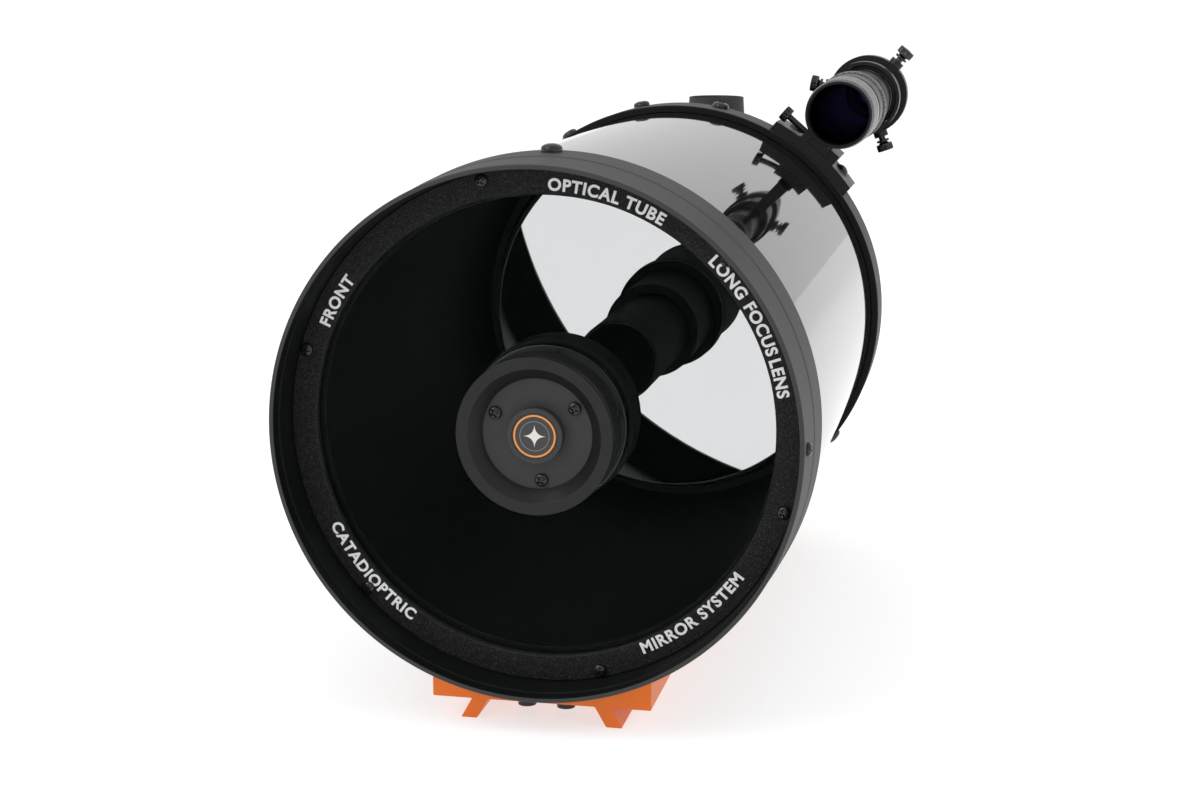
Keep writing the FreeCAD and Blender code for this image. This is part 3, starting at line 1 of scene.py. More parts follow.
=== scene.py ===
"""Looks of a short closed telescope tube with its finder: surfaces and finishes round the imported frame."""

import math
from types import SimpleNamespace

import bmesh
import bpy
import numpy as np
from bpy.props import FloatProperty, FloatVectorProperty, IntProperty, PointerProperty
from bpy.types import Operator, Panel, PropertyGroup
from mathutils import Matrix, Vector


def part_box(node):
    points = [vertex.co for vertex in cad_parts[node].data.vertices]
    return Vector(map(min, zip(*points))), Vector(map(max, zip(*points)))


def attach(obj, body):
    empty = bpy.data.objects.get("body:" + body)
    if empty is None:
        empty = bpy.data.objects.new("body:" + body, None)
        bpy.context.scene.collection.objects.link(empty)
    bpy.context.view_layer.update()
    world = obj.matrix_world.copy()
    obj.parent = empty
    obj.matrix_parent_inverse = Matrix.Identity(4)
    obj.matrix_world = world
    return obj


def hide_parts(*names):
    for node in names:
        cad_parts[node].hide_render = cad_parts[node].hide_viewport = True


bl_info = {
    "name": "Closed Telescope Tube",
    "version": (1, 0, 0),
    "blender": (4, 5, 0),
    "location": "View3D > Sidebar > Telescope",
    "description": "Surfaces and finishes of a short closed telescope tube with its finder",
    "category": "Object",
}

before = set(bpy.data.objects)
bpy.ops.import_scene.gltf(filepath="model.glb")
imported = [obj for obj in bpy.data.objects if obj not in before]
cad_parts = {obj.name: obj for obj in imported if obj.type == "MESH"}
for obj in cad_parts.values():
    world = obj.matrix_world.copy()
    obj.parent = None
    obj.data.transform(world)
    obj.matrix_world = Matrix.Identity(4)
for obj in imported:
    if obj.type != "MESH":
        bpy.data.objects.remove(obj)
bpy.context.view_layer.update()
MM = 1000.0  # millimetres in a metre: profiles are written in millimetres
FULL_TURN = 2.0 * math.pi


# ---- places read from the frame --------------------------------------------------------------------
def span(node, axis=1):
    """Lowest and highest place of a CAD node along an axis (0, 1, 2), in millimetres."""
    low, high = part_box(node)
    return low[axis] * MM, high[axis] * MM


def middle(node, axis):
    return sum(span(node, axis)) / 2.0


FINDER_X = middle("finder_objective_cell", 0)
FINDER_Z = middle("finder_objective_cell", 2)
FINDER_CLOCK = math.atan2(FINDER_Z, FINDER_X)
KNOB_X = middle("focus_bearing_housing", 0)
KNOB_Z = middle("focus_bearing_housing", 2)
EYE_Y = middle("eyepiece_body", 1)
FLOOR_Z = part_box("dovetail_bar")[0][2]
PLATE_FACE = 14.2  # front of the secondary cell's plate, in millimetres behind the lip
NECK_FACE = 17.2  # front of the holder's neck
MIRROR_VERTEX = 346.5  # middle of the large mirror's face, were it not bored
FINDER_TUBE_R = 15.2  # plain part of the finder's tube


# ---- properties --------------------------------------------------------------------------------------
def length(name, description, default):
    return FloatProperty(name=name, description=description, default=default, min=0.0, unit="LENGTH",
                         precision=5)


def colour(name, description, default):
    return FloatVectorProperty(name=name, description=description, default=default, min=0.0, max=1.0,
                               size=3, subtype="COLOR")


class TelescopeSizes(PropertyGroup):
    lip_radius: length("Lip radius", "Outer radius of the front lip", 0.1175)
    rim_radius: length("Rim radius", "Largest radius of the two cells", 0.1195)
    cap_seat_radius: length("Cap seat radius", "Radius of the dust cap's seat in the lip", 0.1155)
    recess_radius: length("Recess radius", "Radius of the recess in front of the glass", 0.1148)
    ring_bore_radius: length("Ring bore", "Opening of the ring in front of the glass", 0.103)
    aperture_radius: length("Aperture radius", "Clear radius behind the glass", 0.1016)
    pocket_radius: length("Pocket radius", "Radius of the pocket that holds the glass", 0.108)
    tube_radius: length("Tube radius", "Outer radius of the tube", 0.1155)
    tube_wall: length("Tube wall", "Thickness of the tube's wall", 0.0016)
    mirror_radius: length("Mirror radius", "Outer radius of the large mirror", 0.1035)
    mirror_curve: length("Mirror curve", "Sphere radius of the large mirror's face", 0.812)
    sleeve_radius: length("Sleeve radius", "Radius of the mirror's sliding sleeve", 0.026)
    baffle_radius: length("Baffle radius", "Radius of the fixed tube on the axis", 0.021)
    lock_ring_radius: length("Lock ring radius", "Radius of the knurled ring in front of the glass", 0.0349)
    neck_radius: length("Neck radius", "Outer radius of the neck through the glass", 0.032)
    neck_bore_radius: length("Neck bore", "Inner radius of the neck through the glass", 0.028)
    boss_radius: length("Boss radius", "Radius of the boss in the middle of the front plate", 0.0123)
    shield_radius: length("Shield radius", "Radius of the light shield behind the glass", 0.0372)
    edge_softness: length("Edge softness", "Radius that takes the sharpness off machined edges", 0.0003)
    knurl_teeth: IntProperty(name="Knurl teeth", description="Teeth round the knurled ring", default=150,
                             min=12)
    knurl_depth: length("Knurl depth", "Depth of the teeth of the knurled ring", 0.00055)
    lettering_height: length("Lettering height", "Height of the capitals on the front ring", 0.0052)
    lettering_radius: length("Lettering radius", "Radius of the middle of the letters", 0.107)


class TelescopeFinishes(PropertyGroup):
    cell_paint: colour("Cell paint", "Powder coat of the two cells", (0.026, 0.0265, 0.0275))
    ring_paint: colour("Ring paint", "Speckled powder coat of the front ring", (0.0055, 0.0055, 0.006))
    tube_paint: colour("Tube paint", "Gloss paint of the tube", (0.006, 0.006, 0.007))
    anodised: colour("Black anodising", "Black anodised metal", (0.010, 0.010, 0.0105))
    inner_black: colour("Inner black", "Flat black inside the tube", (0.0010, 0.0017, 0.0012))
    steel: colour("Blackened steel", "Screws and thumbscrews", (0.006, 0.006, 0.0065))
    orange: colour("Orange anodising", "The dovetail bar", (0.72, 0.145, 0.010))
    grey: colour("Grey anodising", "Bands of the finder", (0.16, 0.16, 0.165))
    mirror: colour("Mirror", "Mirror coating", (0.675, 0.63, 0.67))
    badge_ring: colour("Badge ring", "Thin ring printed on the badge", (0.72, 0.24, 0.03))
    lettering: colour("Lettering", "Ink of the letters", (0.80, 0.80, 0.80))
    floor: colour("Floor", "The pale floor", (0.45, 0.45, 0.45))


class TelescopeStage(PropertyGroup):
    camera_place: FloatVectorProperty(name="Camera place", description="Where the camera stands",
                                      default=(0.2103, -0.8468, 0.1983), size=3, subtype="TRANSLATION",
                                      unit="LENGTH")
    camera_view: FloatVectorProperty(name="Camera view", description="Direction in which the camera looks",
                                     default=(-0.2031, 0.9579, -0.2027), size=3, subtype="DIRECTION")
    lens: FloatProperty(name="Lens", description="Focal length on a 36 mm sensor", default=62.95, min=10.0)
    surroundings: FloatProperty(name="Surroundings", description="Brightness of the white surroundings",
                                default=0.85, min=0.0)
    key_power: FloatProperty(name="Key light", description="Power of the large light at the upper left",
                             default=22.0, min=0.0, unit="POWER")
    fill_power: FloatProperty(name="Fill light", description="Power of the light at the right",
                              default=10.0, min=0.0, unit="POWER")


def millimetres(group):
    """The lengths of a property group as plain numbers in millimetres; counts stay as they are."""
    values = {key: getattr(group, key) for key in type(group).__annotations__}
    return SimpleNamespace(**{k: v if isinstance(v, int) else v * MM for k, v in values.items()})


# ---- shader maths ------------------------------------------------------------------------------------
class Value:
    """A number socket that takes part in Python arithmetic by adding Math nodes."""

    def __init__(self, finish, socket):
        self.finish = finish
        self.socket = socket

    def math(self, operation, *terms):
        return self.finish.add("ShaderNodeMath", {"operation": operation}, dict(enumerate(terms)))

    def __add__(self, other):
        return self.math("ADD", self, other)

    def __sub__(self, other):
        return self.math("SUBTRACT", self, other)

    def __rsub__(self, other):
        return self.math("SUBTRACT", other, self)

    def __mul__(self, other):
        return self.math("MULTIPLY", self, other)

    def __truediv__(self, other):
        return self.math("DIVIDE", self, other)

    def __pow__(self, other):
        return self.math("POWER", self, other)

    def __abs__(self):
        return self.math("ABSOLUTE", self)

    def __lt__(self, other):
        return self.math("LESS_THAN", self, other)

    def __gt__(self, other):
        return self.math("GREATER_THAN", self, other)

    __radd__ = __add__
    __rmul__ = __mul__


class Finish:
    """A material that is being made."""

    def __init__(self, name):
        self.material = bpy.data.materials.new(name + "_finish")
        self.material.use_nodes = True
        self.tree = self.material.node_tree
        self.tree.nodes.clear()

    def add(self, kind, settings=None, inputs=None, output=0):
        """Add a node: its settings first, then each input as a value or a link. Returns one output."""
        node = self.tree.nodes.new(kind)
        for key, value in (settings or {}).items():
            setattr(node, key, value)
        for key, value in (inputs or {}).items():
            if isinstance(value, Value):
                self.tree.links.new(value.socket, node.inputs[key])
            else:
                node.inputs[key].default_value = value
        return Value(self, node.outputs[output])

    def place(self):
        """Object coordinates, in metres."""
        return self.add("ShaderNodeTexCoord", output="Object")

    def parts(self, vector):
        """The three numbers of a vector."""
        split = self.add("ShaderNodeSeparateXYZ", None, {0: vector})
        return [Value(self, socket) for socket in split.socket.node.outputs]

    def noise(self, scale, detail=2.0, place=None):
        return self.add("ShaderNodeTexNoise", None,
                        {"Vector": place or self.place(), "Scale": scale, "Detail": detail})

    def mix(self, factor, first, second):
        """Colour between two colours."""
        return self.add("ShaderNodeMix", {"data_type": "RGBA"}, {0: factor, 6: first, 7: second}, output=2)

    def bump(self, height, distance):
        return self.add("ShaderNodeBump", None, {"Height": height, "Distance": distance, "Strength": 1.0})

    def surface(self, inputs):
        """Principled shader as the material's surface."""
        self.show(self.add("ShaderNodeBsdfPrincipled", None, inputs))
        return self.material

    def show(self, shader):
        """Make a shader the material's surface."""
        node = self.tree.nodes.new("ShaderNodeOutputMaterial")
        self.tree.links.new(shader.socket, node.inputs["Surface"])
        return self.material


def rgba(shade, gain=1.0):
    return tuple(min(1.0, channel * gain) for channel in shade) + (1.0,)


# ---- finishes ------------------------------------------------------------------------------------------
def powder_coat(name, shade, grain, speck, roughness, gloss):
    """Baked powder paint: fine orange-peel bump, small lighter specks."""
    f = Finish(name)
    lumps = f.noise(grain, 3.0)
    specks = f.noise(grain * 2.3, 1.0)
    light = (specks > 0.62) * speck
    base = f.mix(light, f.mix(lumps, rgba(shade, 0.6), rgba(shade, 1.4)), rgba(shade, 12.0))
    return f.surface({"Base Color": base, "Roughness": lumps * 0.18 + roughness, "Specular IOR Level": gloss,
                      "Normal": f.bump(lumps * 0.7 + specks * 0.3, 0.00022)})


def make_cell_paint(c):
    return powder_coat("cell_paint", c.cell_paint, 1500.0, 0.03, 0.46, 0.36)


def make_ring_paint(c):
    return powder_coat("ring_paint", c.ring_paint, 1250.0, 0.60, 0.50, 0.16)


def make_tube_paint(c):
    """Gloss paint with the faintest waviness."""
    f = Finish("tube_paint")
    waves = f.noise(28.0, 1.0)
    base = f.mix(waves, rgba(c.tube_paint, 0.9), rgba(c.tube_paint, 1.1))
    return f.surface({"Base Color": base, "Roughness": waves * 0.02 + 0.03, "IOR": 1.42,
                      "Coat Weight": 0.4, "Coat Roughness": 0.02, "Coat IOR": 1.45,
                      "Normal": f.bump(waves, 0.00005)})


def make_black_anodised(c):
    """Turned and anodised metal: fine rings left by the tool, satin gloss."""
    f = Finish("black_anodised")
    grain = f.noise(2600.0, 2.0)
    wear = f.noise(60.0, 4.0)
    base = f.mix(wear, rgba(c.anodised, 0.75), rgba(c.anodised, 1.3))
    return f.surface({"Base Color": base, "Metallic": 0.15, "Roughness": wear * 0.14 + 0.28,
                      "Specular IOR Level": 0.3,
                      "Normal": f.bump(grain, 0.00003)})


def make_inner_black(c):
    f = Finish("inner_black")
    grain = f.noise(1800.0, 2.0)
    base = f.mix(grain, rgba(c.inner_black, 0.7), rgba(c.inner_black, 1.3))
    return f.surface({"Base Color": base, "Roughness": grain * 0.15 + 0.55, "Specular IOR Level": 0.25,
                      "Normal": f.bump(grain, 0.00005)})


def make_black_steel(c):
    f = Finish("black_steel")
    grain = f.noise(2200.0, 3.0)
    base = f.mix(grain, rgba(c.steel, 0.7), rgba(c.steel, 1.5))
    return f.surface({"Base Color": base, "Roughness": grain * 0.08 + 0.10,
                      "Normal": f.bump(grain, 0.00001)})


def make_bright_steel(c):
    f = Finish("bright_steel")
    lines = f.noise(1500.0, 3.0)
    base = f.mix(lines, (0.56, 0.56, 0.57, 1.0), (0.68, 0.68, 0.69, 1.0))
    return f.surface({"Base Color": base, "Metallic": 1.0, "Roughness": lines * 0.15 + 0.18})


def glass(name, through, gloss, ior):
    """Thin coated glass: mostly clear, with a tinted reflection that grows towards the edge of view."""
    f = Finish(name)
    clear = f.add("ShaderNodeBsdfTransparent", None, {"Color": through})
    shine = f.add("ShaderNodeBsdfGlossy", None, {"Color": gloss, "Roughness": 0.0})
    film = f.noise(9.0, 3.0) * 0.2 + 0.9
    amount = f.add("ShaderNodeFresnel", None, {"IOR": ior}) * film
    return f.show(f.add("ShaderNodeMixShader", None, {0: amount, 1: clear, 2: shine}))


def make_coated_glass(c):
    return glass("coated_glass", (0.965, 0.985, 0.975, 1.0), (0.55, 0.95, 0.72, 1.0), 1.07)


def make_violet_glass(c):
    return glass("violet_glass", (0.34, 0.30, 0.46, 1.0), (0.50, 0.40, 0.95, 1.0), 1.11)


def make_mirror_coat(c):
    f = Finish("mirror_coat")
    haze = f.noise(40.0, 2.0)
    base = f.mix(haze, rgba(c.mirror, 0.98), rgba(c.mirror))
    return f.surface({"Base Color": base, "Metallic": 1.0, "Roughness": haze * 0.004})


def make_ground_glass(c):
    f = Finish("ground_glass")
    grain = f.noise(900.0, 3.0)
    base = f.mix(grain, (0.36, 0.42, 0.40, 1.0), (0.52, 0.58, 0.56, 1.0))
    return f.surface({"Base Color": base, "Roughness": grain * 0.2 + 0.5, "Normal": f.bump(grain, 0.00005)})


def make_orange_anodised(c):
    """Blasted and anodised aluminium."""
    f = Finish("orange_anodised")
    grain = f.noise(2400.0, 2.0)
    drift = f.noise(14.0, 2.0)
    base = f.mix(drift, rgba(c.orange, 0.93), rgba(c.orange, 1.05))
    return f.surface({"Base Color": base, "Metallic": 0.35, "Roughness": grain * 0.12 + 0.34,
                      "Normal": f.bump(grain, 0.00004)})


def make_grey_anodised(c):
    f = Finish("grey_anodised")
    specks = f.noise(1500.0, 2.0)
    base = f.mix((specks > 0.56) * 0.6, rgba(c.grey, 0.75), rgba(c.grey, 2.2))
    return f.surface({"Base Color": base, "Metallic": 0.4, "Roughness": specks * 0.2 + 0.34,
                      "Normal": f.bump(specks, 0.00006)})


def make_rubber(c):
    f = Finish("rubber")
    grain = f.noise(1900.0, 3.0)
    base = f.mix(grain, (0.010, 0.010, 0.011, 1.0), (0.022, 0.022, 0.023, 1.0))
    return f.surface({"Base Color": base, "Roughness": grain * 0.2 + 0.55, "Normal": f.bump(grain, 0.00006)})


def make_brass(c):
    f = Finish("brass")
    lines = f.noise(900.0, 3.0)
    base = f.mix(lines, (0.62, 0.44, 0.17, 1.0), (0.76, 0.58, 0.27, 1.0))
    return f.surface({"Base Color": base, "Metallic": 1.0, "Roughness": lines * 0.15 + 0.22})


def make_card(c):
    f = Finish("card")
    fibres = f.noise(1400.0, 4.0)
    base = f.mix(fibres, (0.40, 0.33, 0.24, 1.0), (0.62, 0.55, 0.44, 1.0))
    return f.surface({"Base Color": base, "Roughness": 0.85, "Normal": f.bump(fibres, 0.00012)})


def make_lettering(c):
    f = Finish("lettering")
    grain = f.noise(2500.0, 2.0)
    base = f.mix(grain, rgba(c.lettering, 0.86), rgba(c.lettering, 1.05))
    return f.surface({"Base Color": base, "Roughness": grain * 0.2 + 0.45})


def make_badge(c):
    """Printed disc: dark field, thin ring near the edge, a four-pointed star in the middle."""
    f = Finish("badge")
    x, _, z = f.parts(f.place())
    out = (x * x + z * z) ** 0.5 * MM
    band = (out > 8.6) * (out < 9.35)
    star = ((abs(x) * MM + 0.001) ** 0.5 + (abs(z) * MM + 0.001) ** 0.5) < 2.35
    halo = (out > 6.35) * (out < 6.6)
    grain = f.noise(1200.0, 2.0)
    field = f.mix(grain, (0.018, 0.018, 0.020, 1.0), (0.030, 0.030, 0.032, 1.0))
    ringed = f.mix(band, field, rgba(c.badge_ring))
    haloed = f.mix(halo * 0.6, ringed, (0.30, 0.30, 0.31, 1.0))
    base = f.mix(star, haloed, (0.62, 0.60, 0.56, 1.0))
    return f.surface({"Base Color": base, "Roughness": grain * 0.1 + 0.25})


def make_floor(c):
    f = Finish("floor")
    drift = f.noise(3.0, 2.0)
    base = f.mix(drift, rgba(c.floor, 0.995), rgba(c.floor))
    return f.surface({"Base Color": base, "Roughness": drift * 0.05 + 0.75, "Specular IOR Level": 0.2,
                      "Emission Color": (1.0, 1.0, 1.0, 1.0), "Emission Strength": 0.64})


MAKERS = {
    "cell_paint": make_cell_paint, "ring_paint": make_ring_paint, "tube_paint": make_tube_paint,
    "black_anodised": make_black_anodised, "inner_black": make_inner_black, "black_steel": make_black_steel,
    "bright_steel": make_bright_steel, "coated_glass": make_coated_glass, "violet_glass": make_violet_glass,
    "mirror_coat": make_mirror_coat, "ground_glass": make_ground_glass,
    "orange_anodised": make_orange_anodised,
    "grey_anodised": make_grey_anodised, "rubber": make_rubber, "brass": make_brass, "card": make_card,
    "lettering": make_lettering, "badge": make_badge, "floor": make_floor,
}


def finish(name):
    """The named material, made the first time that it is asked for."""
    made = bpy.data.materials.get(name + "_finish")
    return made or MAKERS[name](bpy.context.scene.telescope_finishes)


# ---- shells --------------------------------------------------------------------------------------------
class Shell:
    """A closed surface: points in millimetres, four-sided faces, three-sided faces and flat caps."""

    def __init__(self, points, quads, tris=None, caps=()):
        self.points = points
        self.quads = quads
        self.tris = np.zeros((0, 3), int) if tris is None else tris
        self.caps = list(caps)

    def volume(self):
        """Sum over the triangles of each face of a . (b x c) / 6, positive when the faces point outwards."""
        fans = [self.tris, self.quads[:, [0, 1, 2]], self.quads[:, [0, 2, 3]]]
        fans += [np.stack([np.full(len(c) - 2, c[0]), c[1:-1], c[2:]], -1) for c in self.caps]
        a, b, c = (self.points[np.concatenate(fans)[:, k]] for k in range(3))
        return float(np.einsum("ij,ij->i", a, np.cross(b, c)).sum()) / 6.0

    def outward(self):
        """The same shell with its faces pointing outwards."""
        if self.volume() >= 0.0:
            return self
        return Shell(self.points, self.quads[:, ::-1], self.tris[:, ::-1], [c[::-1] for c in self.caps])

    def placed(self, origin, along=(0.0, 1.0, 0.0), turn=0.0):
        """Turn a shell drawn about +Y about its axis, lay that axis along a direction and shift it."""
        along = np.array(along, float) / np.linalg.norm(along)
        side = np.cross((0.0, 0.0, 1.0) if abs(along[2]) < 0.9 else (1.0, 0.0, 0.0), along)
        side /= np.linalg.norm(side)
        other = np.cross(side, along)
        x, y, z = self.points.T
        u = x * math.cos(turn) + z * math.sin(turn)
        v = z * math.cos(turn) - x * math.sin(turn)
        points = u[:, None] * side + y[:, None] * along + v[:, None] * other + np.array(origin, float)
        return Shell(points, self.quads, self.tris, self.caps)


def together(*shells):
    """Several shells as one."""
    starts = np.cumsum([0] + [len(s.points) for s in shells])
    return Shell(np.concatenate([s.points for s in shells]),
                 np.concatenate([s.quads + n for s, n in zip(shells, starts)]),
                 np.concatenate([s.tris + n for s, n in zip(shells, starts)]),
                 [c + n for s, n in zip(shells, starts) for c in s.caps])


def softened(corners, softness=0.3, closed=True, step=None):
    """Replace every corner by a short quadratic arc, with a support point just beyond each end of it.
    The arc between the trim points A and B round a corner C is (1-s)^2 A + 2 s (1-s) C + s^2 B.
    With a step, straight runs longer than it get extra points."""
    p = np.array([c[:2] for c in corners], float)
    soft = np.array([c[2] if len(c) > 2 else softness for c in corners])
    if not closed:
        soft[[0, -1]] = 0.0
    before, after = np.roll(p, 1, 0) - p, np.roll(p, -1, 0) - p
    d0 = np.linalg.norm(before, axis=1)[:, None]
    d1 = np.linalg.norm(after, axis=1)[:, None]
    trim0, trim1 = np.minimum(soft[:, None], 0.4 * d0), np.minimum(soft[:, None], 0.4 * d1)
    u, v = before / np.maximum(d0, 1e-9), after / np.maximum(d1, 1e-9)
    a, b = p + u * trim0, p + v * trim1
    s = np.linspace(0.0, 1.0, 5)[None, :, None]
    arc = (1 - s) ** 2 * a[:, None] + 2 * s * (1 - s) * p[:, None] + s ** 2 * b[:, None]
    lead = (a + u * np.minimum(0.25, 0.2 * d0))[:, None]
    tail = (b + v * np.minimum(0.25, 0.2 * d1))[:, None]
    line = np.concatenate([lead, arc, tail], 1)
    if not closed:
        line[0], line[-1] = p[0], p[-1]
    line = line.reshape(-1, 2)
    line = line[np.linalg.norm(line - np.roll(line, 1, 0), axis=1) > 1e-4]
    return line if step is None else stepped(line, closed, step)


def stepped(line, closed, step):
    """Add points to a line so that none of its runs is longer than a step."""
    whole = np.concatenate([line, line[:1]]) if closed else line
    far = np.concatenate([[0.0], np.cumsum(np.linalg.norm(np.diff(whole, axis=0), axis=1))])
    at = np.union1d(far, np.arange(0.0, far[-1], step))
    at = at[np.concatenate([[True], np.diff(at) > 1e-4])]
    fine = np.stack([np.interp(at, far, whole[:, k]) for k in range(2)], -1)
    return fine[:-1] if closed else fine


def revolved(line, segments=192, closed=True, relief=None):
    """Surface of revolution about +Y: (r cos t, a, -r sin t) for each point (r, a) of a line and angle t.
    An open line starts and ends on the axis, where two fans close it. Relief returns what to add to r, a."""
    t = np.arange(segments)[None, :] * FULL_TURN / segments
    rim = line if closed else line[1:-1]
    r, a = rim[:, :1] + 0.0 * t, rim[:, 1:] + 0.0 * t
    if relief is not None:
        dr, da = relief(r, a, t)
        r, a = r + dr, a + da
    points = np.stack([r * np.cos(t), a, -r * np.sin(t)], -1).reshape(-1, 3)
    rows = len(rim)
    i = np.arange(rows if closed else rows - 1)[:, None]
    j = np.arange(segments)[None, :]
    ni, nj = (i + 1) % rows, (j + 1) % segments
    quads = np.stack([i * segments + j, ni * segments + j, ni * segments + nj, i * segments + nj],
                     -1).reshape(-1, 4)
    tris = None
    if not closed:
        low, high = relief_at_pole(line[0], relief), relief_at_pole(line[-1], relief)
        points = np.concatenate([points, [[0.0, low, 0.0], [0.0, high, 0.0]]])
        ring, turned = j[0], nj[0]
        first = np.stack([np.full(segments, rows * segments), ring, turned], -1)
        last = (rows - 1) * segments
        second = np.stack([last + ring, np.full(segments, rows * segments + 1), last + turned], -1)
        tris = np.concatenate([first, second])
    return Shell(points, quads, tris).outward()


def relief_at_pole(point, relief):
    """Height of a pole, with its relief."""
    if relief is None:
        return point[1]
    _, da = relief(np.array([[point[0]]]), np.array([[point[1]]]), np.array([[0.0]]))
    return point[1] + float(np.ravel(da)[0])


def turned(corners, segments=192, softness=0.3, relief=None, step=None):
    """Turned part from the closed corner list of its section."""
    return revolved(softened(corners, softness, True, step), segments, True, relief)


def capped(corners, segments=128, softness=0.3, relief=None, step=None):
    """Turned part without a bore, from a corner list that starts and ends on the axis."""
    return revolved(softened(corners, softness, False, step), segments, False, relief)


def carried(outline, low, high, softness=0.3, across=(1, 0, 0), along=(0, 1, 0), up=(0, 0, 1)):
    """An outline (u, v) carried along a straight path: u across + a along + v up. At each end it is drawn in
    by e (1 - sin s) while it advances by e (1 - cos s), which rounds the end's edge. Here e is a third of the
    softness, so that the drawn-in outline stays clear of itself at its corners."""
    line = softened(outline, softness)
    tangent = np.roll(line, -1, 0) - np.roll(line, 1, 0)
    tangent /= np.linalg.norm(tangent, axis=1)[:, None]
    area = np.sum(line[:, 0] * np.roll(line[:, 1], -1) - np.roll(line[:, 0], -1) * line[:, 1])
    normal = np.stack([tangent[:, 1], -tangent[:, 0]], -1) * np.sign(area)
    s = np.linspace(0.0, math.pi / 2, 4)
    e = softness / 3.0
    drawn = np.concatenate([e * (1 - np.sin(s)), [0.0, 0.0], e * (1 - np.cos(s))])
    at = np.concatenate([low + e * (1 - np.cos(s)), [low + e + 0.3, high - e - 0.3],
                         high - e + e * np.sin(s)])
    u, v = (line[None] - drawn[:, None, None] * normal[None]).transpose(2, 0, 1)
    a = at[:, None] + 0.0 * u
    points = (u[..., None] * np.array(across, float) + a[..., None] * np.array(along, float)
              + v[..., None] * np.array(up, float)).reshape(-1, 3)
    n = len(line)
    i, j = np.arange(len(at) - 1)[:, None], np.arange(n)[None, :]
    nj = (j + 1) % n
    quads = np.stack([i * n + j, (i + 1) * n + j, (i + 1) * n + nj, i * n + nj], -1).reshape(-1, 4)
    caps = [np.arange(n), np.arange(n)[::-1] + (len(at) - 1) * n]
    return Shell(points, quads, None, caps).outward()


def eased(value):
    """0 below 0, 1 above 1, and 3 s^2 - 2 s^3 between."""
    s = np.clip(value, 0.0, 1.0)
    return s * s * (3.0 - 2.0 * s)


def knurl(teeth, depth, radius, low, high, slant=0.0):
    """Relief of triangular teeth on an outer wall: -depth |2 frac(teeth t / turn + slant a) - 1|."""
    def relief(r, a, t):
        wave = np.abs(2.0 * ((teeth * t / FULL_TURN + slant * a) % 1.0) - 1.0)
        band = eased((a - low) / 0.4) * eased((high - a) / 0.4) * (r > radius - 0.6)
        return -depth * wave * band, 0.0 * wave
    return relief


def cross_slot(radius, height):
    """Relief of a cross-shaped driver recess in a head: the four arms sink by a fraction of the height."""
    def relief(r, a, t):
        x, z = np.abs(r * np.cos(t)), np.abs(r * np.sin(t))
        outside = np.maximum(np.minimum(x, z) - 0.16 * radius, np.maximum(x, z) - 0.62 * radius)
        cut = eased(0.5 - outside / (0.10 * radius)) * (a > 0.1 * height)
        return 0.0 * cut, -0.55 * height * cut
    return relief


def hex_socket(radius, height):
    """Relief of a six-sided driver recess in a head."""
    def relief(r, a, t):
        sides = np.stack([np.abs(r * np.cos(t + k * math.pi / 3)) for k in range(3)])
        outside = sides.max(0) - 0.40 * radius
        cut = eased(0.5 - outside / (0.06 * radius)) * (a > 0.1 * height)
        return 0.0 * cut, -0.6 * height * cut
    return relief


def screw(radius, height, shank, length, recess):
    """Screw along +Y with its head on y = 0. The head's top is (R sin s, edge + (H - edge) cos(s)^0.8)."""
    s = np.linspace(0.0, math.pi / 2, 30)
    edge = 0.28 * height
    top = np.stack([radius * np.sin(s), edge + (height - edge) * np.cos(s) ** 0.8], -1)
    rest = np.array([(radius, 0.06), (radius - 0.06, 0.0), (shank, 0.0), (shank, 0.2 - length),
                     (shank - 0.3, -length), (0.0, -length)])
    line = np.concatenate([top, rest])
    line[0, 0] = 0.0
    return revolved(line, 72, False, recess(radius, height))


def pan_screw(length):
    return screw(2.9, 2.0, 1.5, length, cross_slot)


def button_screw(length):
    return screw(4.75, 3.4, 2.5, length, hex_socket)


def thumb_screw(tip, disc, head):
    """Thumbscrew along +Y: rounded tip, shank, lock disc, waist and a knurled head."""
    r, top = 4.6, head + 4.0
    corners = [(0.0, tip), (1.4, tip), (1.9, tip + 0.6), (1.9, disc), (3.6, disc), (3.6, disc + 1.3),
               (1.9, disc + 1.3),
               (1.9, head - 1.2), (3.2, head), (r, head), (r, top), (2.6, top), (2.2, top - 0.5),
               (0.0, top - 0.5)]
    return capped(corners, 144, 0.25, knurl(18, 0.35, r, head + 0.3, top - 0.3), 0.6)


def facing_front(shell, radius, clock, y, turn=0.0):
    """Point a shell's +Y at the front and put it at a clock angle in degrees."""
    c = math.radians(clock)
    return shell.placed((radius * math.cos(c), y, radius * math.sin(c)), (0, -1, 0), turn)


def pointing_out(shell, radius, clock, y, turn=0.0):
    """Point a shell's +Y away from the optical axis at a clock angle in degrees."""
    c = math.radians(clock)
    out = (math.cos(c), 0.0, math.sin(c))
    return shell.placed((radius * out[0], y, radius * out[2]), out, turn)


def at_finder(shell):
    return shell.placed((FINDER_X, 0.0, FINDER_Z))


def upright(shell):
    """Turn a shell drawn about +Y upright and put it on the eyepiece's axis."""
    return shell.placed((0.0, EYE_Y, 0.0), (0, 0, 1))


def at_shoe(x, height):
    """Optical-frame x and z of a place beside the shoe's middle line and above the optical axis."""
    s, c = math.sin(FINDER_CLOCK), math.cos(FINDER_CLOCK)
    return x * s + height * c, height * s - x * c


